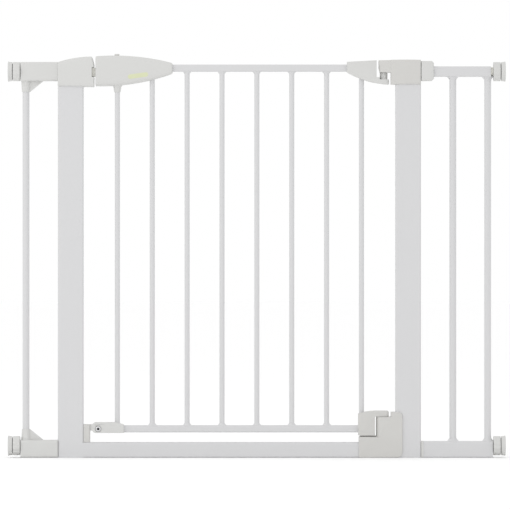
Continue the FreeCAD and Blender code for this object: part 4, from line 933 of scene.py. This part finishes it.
class GATE_OT_lower_latch(bpy.types.Operator):
    """Makes the lower latch's cap and tongue, its keeper and its socket screw"""

    bl_idname = "gate.lower_latch"
    bl_label = "Lower latch"

    head = 1.4  # height of the screw's head in millimetres

    def execute(self, context):
        low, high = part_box("lower_latch_screw")
        seat = ((low.x + high.x) / 2, low.y + self.head * MM, (low.z + high.z) / 2)
        radius = (high.z - low.z) / 2 / MM
        cap = softened_copy("door_lower_latch", "lower_latch_cap", moulding())
        cut(cap, [self.groove(seat, radius)])
        fit(cap, "door", "door_lower_latch")
        soft_piece("lower_latch_keeper", "lower_latch_socket", white_nylon(), "frame")
        self.screw(seat, radius, (high.y - low.y) / MM)
        return {"FINISHED"}

    def groove(self, seat, radius):
        """Ring cut round the screw's head."""
        inner, outer, floor, over = radius - 0.7, radius + 0.9, -1.6, 1
        return turned("groove", [(floor, inner), (over, inner), (over, outer), (floor, outer)],
                      seat, FORWARD, moulding(), steps=48, closed_loop=True)

    def screw(self, seat, radius, run):
        """Round-headed screw with a hexagon socket."""
        head, shank, socket, socket_floor, over = self.head, 3.0, 2.6, -1.2, 3
        stations = [(head - run, shank), (0, shank), (0, radius), (0.35 * head, radius),
                    (0.75 * head, 0.93 * radius), (head, 0.78 * radius)]
        piece = turned("lower_latch_socket_screw", stations, seat, FORWARD, zinc_plate(), steps=48)
        # The socket's walls get the dark painted-shade colour, which stands in for the shade inside
        # the recess
        hexagon = turned("hexagon", [(socket_floor, socket), (over, socket)], seat, FORWARD,
                         socket_shade_paint(), steps=6)
        cut(piece, [hexagon], lined=True)
        fit(piece, "door", "lower_latch_screw", slot=ZINC)


class GATE_OT_adjusters(bpy.types.Operator):
    """Makes the four adjusters: threaded spindle, fluted knob, bumper and wall cup"""

    bl_idname = "gate.adjusters"
    bl_label = "Wall adjusters"

    def execute(self, context):
        for corner in CORNERS:
            outward = (-1 if corner.startswith("left") else 1, 0, 0)
            for make in (self.spindle, self.knob, self.cup, self.bumper):
                make(corner, outward)
        return {"FINISHED"}

    def along(self, node, outward):
        """Where a node starts, seen from the gate's middle, and its length and radius in mm."""
        low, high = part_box(node)
        start = low.x if outward[0] > 0 else high.x
        return (Vector((start, 0, (low.z + high.z) / 2)), (high.x - low.x) / MM,
                (high.z - low.z) / 2 / MM)

    def spindle(self, corner, outward):
        """Threaded rod."""
        size = sizes()
        start, run, radius = self.along("spindle_" + corner, outward)
        piece = grow("threaded_spindle_" + corner, "Threaded rod", zinc_plate(), {
            "Radius": radius * MM, "Length": run * MM, "Pitch": size.thread_pitch,
            "Depth": size.thread_depth, "Origin": tuple(start + Vector(outward) * run * MM / 2),
            "Turn": (0, outward[0] * pi / 2, 0)})
        fit(piece, "screw_" + corner, "spindle_" + corner, slot=ZINC)

    def knob(self, corner, outward):
        """Fluted hand wheel with a dished inner face."""
        size = sizes()
        start, run, radius = self.along("tension_knob_" + corner, outward)
        flute, dish, bore = size.flute_depth / MM, 1.5, 5.05
        rim = [(0, 0.96 * radius, 0.6 * flute), (0.2, 0.985 * radius, 0.8 * flute),
               (0.8, radius, flute)]
        stations = ([(dish, bore), (dish, 0.5 * radius), (0.1, 0.62 * radius)] + rim +
                    [(run - along, *rest) for along, *rest in rim[::-1]] + [(run, bore)])
        piece = turned("fluted_knob_" + corner, stations, start, outward, moulding(), steps=144,
                       closed_loop=True, flutes=size.flutes)
        fit(piece, "screw_" + corner, "tension_knob_" + corner)

    def cup(self, corner, outward):
        """Wall cup: a flared rim round the bumper and a floor with a screw hole."""
        start, run, radius = self.along("wall_cup_" + corner, outward)
        floor, bore, hole = 2.5, 14.2, 2.25
        stations = [(run - 0.5, hole), (run - floor, hole), (run - floor, bore), (0.4, bore),
                    (0, bore + 0.5), (0, radius - 1.7), (0.3, radius - 1.2), (1.0, radius - 1.0),
                    (run - 2.6, radius - 0.6), (run - 1.8, radius - 0.1), (run - 1.0, radius),
                    (run - 0.3, radius - 0.3), (run, radius - 1.0), (run, hole + 1.6)]
        cup = turned("screw_cup_" + corner, stations, start, outward, moulding(), closed_loop=True)
        fit(cup, "pad_" + corner, "wall_cup_" + corner)

    def bumper(self, corner, outward):
        """Rubber bumper with a pocket for the spindle's end."""
        start, run, radius = self.along("rubber_bumper_" + corner, outward)
        pocket, floor = 5.1, 2.0
        stations = [(run - floor, pocket), (0.3, pocket), (0, pocket + 0.4), (0, radius - 0.8),
                    (0.3, radius - 0.2), (0.9, radius), (run - 0.6, radius), (run, radius - 0.6)]
        bumper = turned("bumper_" + corner, stations, start, outward, rubber(), steps=64)
        fit(bumper, "pad_" + corner, "rubber_bumper_" + corner, slot="grey_rubber")


class GATE_OT_cover_screws(bpy.types.Operator):
    """Makes the cover screws in the back of the handle, the latch housing and the hinge cover"""

    bl_idname = "gate.cover_screws"
    bl_label = "Cover screws"

    def head(self):
        """Round head with a cross recess, facing +Z from its seat at the origin."""
        radius, height = sizes().screw_radius, sizes().screw_height
        cap, shank, shank_end, rim, steps = height / MM, 1.5, -2, 0.3, 6
        wide = radius / MM
        stations = [(shank_end, shank), (0, shank), (0, wide), (rim * cap, wide)]
        for step in range(1, steps):
            angle = pi / 2 * step / steps
            stations.append((cap * (rim + (1 - rim) * sin(angle)), wide * cos(angle)))
        stations.append((cap, 0.12 * wide))
        head = turned("head", stations, (0, 0, 0), UP, zinc_plate(), steps=32)
        reach, half = 0.55 * radius, 0.14 * radius
        depth = (0.35 * height, 2 * height)
        return cut(head, [brick("cross_one", (-reach, reach), (-half, half), depth),
                          brick("cross_two", (-half, half), (-reach, reach), depth)])

    def execute(self, context):
        head = self.head()
        for name, node, body, shell in (
                ("frame_screw_heads", "frame_cover_screws", "frame", housing_shell()),
                ("handle_screw_heads", "handle_screws", "door", handle_shell())):
            spots = [(seat, REARWARD) for seat, in_shell in screw_seats(node, shell)]
            piece = grow(name, "Shapes on places", zinc_plate(), {"Shape": head}, spots)
            fit(piece, body, node, slot=ZINC)
        bpy.data.objects.remove(head)
        return {"FINISHED"}


class GATE_OT_stage(bpy.types.Operator):
    """Lays the white floor and sets the soft light and the camera"""

    bl_idname = "gate.stage"
    bl_label = "Floor, light and camera"

    key_place = Vector((-2.6, -1.9, 2.3))
    key_aim = Vector((0, 0, 0.4))
    floor_gap = 0.2 * MM

    def execute(self, context):
        for part in (self.floor, self.light, self.camera):
            part(context.scene.gate_stage)
        return {"FINISHED"}

    def floor(self, stage):
        """Large flat sheet of white paper just under the gate."""
        half = stage.floor_size / 2
        bm = bmesh.new()
        corners = ((-half, -half), (half, -half), (half, half), (-half, half))
        bm.faces.new([bm.verts.new((x, y, -self.floor_gap)) for x, y in corners])
        made("studio_floor", bm, studio_paper())

    def light(self, stage):
        """Even white surround and one large soft light."""
        world = bpy.data.worlds.new("white_surround")
        world.use_nodes = True
        background = world.node_tree.nodes["Background"].inputs
        background["Color"].default_value = (1, 1, 1, 1)
        background["Strength"].default_value = stage.sky
        bpy.context.scene.world = world
        lamp = bpy.data.lights.new("key_softbox", "AREA")
        lamp.energy = stage.key
        lamp.size = stage.key_size
        key = new_object("key_softbox", lamp)
        key.location = self.key_place
        key.rotation_mode = "QUATERNION"
        key.rotation_quaternion = (self.key_aim - self.key_place).to_track_quat("-Z", "Y")

    def camera(self, stage):
        """Level camera in front of the gate."""
        data = bpy.data.cameras.new("front_camera")
        data.sensor_width = 36.0
        data.lens = data.sensor_width * stage.distance / stage.width
        data.clip_end = 200.0
        camera = new_object("front_camera", data)
        camera.location = (stage.eye_x, -stage.distance, stage.eye_z)
        camera.rotation_euler = (pi / 2, 0, 0)
        bpy.context.scene.camera = camera
        bpy.context.scene.view_settings.view_transform = "Standard"


PIECE_OPERATORS = (GATE_OT_steelwork, GATE_OT_handle, GATE_OT_latch_housing, GATE_OT_latch_parts,
                   GATE_OT_hinges, GATE_OT_extensions, GATE_OT_lower_latch, GATE_OT_adjusters,
                   GATE_OT_cover_screws, GATE_OT_stage)
SETTINGS = {"gate_sizes": GateSizes, "gate_colours": GateColours, "gate_stage": GateStage}


class GATE_PT_looks(bpy.types.Panel):
    """Lists the gate's pieces and settings"""

    bl_label = "Safety gate"
    bl_idname = "GATE_PT_looks"
    bl_space_type = "VIEW_3D"
    bl_region_type = "UI"
    bl_category = "Gate"

    def draw(self, context):
        for operator in PIECE_OPERATORS:
            self.layout.operator(operator.bl_idname)
        for group in SETTINGS:
            settings = getattr(context.scene, group)
            for name in settings.__annotations__:
                self.layout.prop(settings, name)


CLASSES = tuple(SETTINGS.values()) + PIECE_OPERATORS + (GATE_PT_looks,)


def register():
    """Registers the classes and their settings."""
    for each in CLASSES:
        bpy.utils.register_class(each)
    for group, settings in SETTINGS.items():
        setattr(bpy.types.Scene, group, PointerProperty(type=settings))


def unregister():
    """Removes the classes and their settings."""
    for group in SETTINGS:
        delattr(bpy.types.Scene, group)
    for each in reversed(CLASSES):
        bpy.utils.unregister_class(each)


def main():
    register()
    bpy.ops.gate.steelwork()
    bpy.ops.gate.handle()
    bpy.ops.gate.latch_housing()
    bpy.ops.gate.latch_parts()
    bpy.ops.gate.hinges()
    bpy.ops.gate.extensions()
    bpy.ops.gate.lower_latch()
    bpy.ops.gate.adjusters()
    bpy.ops.gate.cover_screws()
    bpy.ops.gate.stage()


if __name__ == "__main__":
    main()
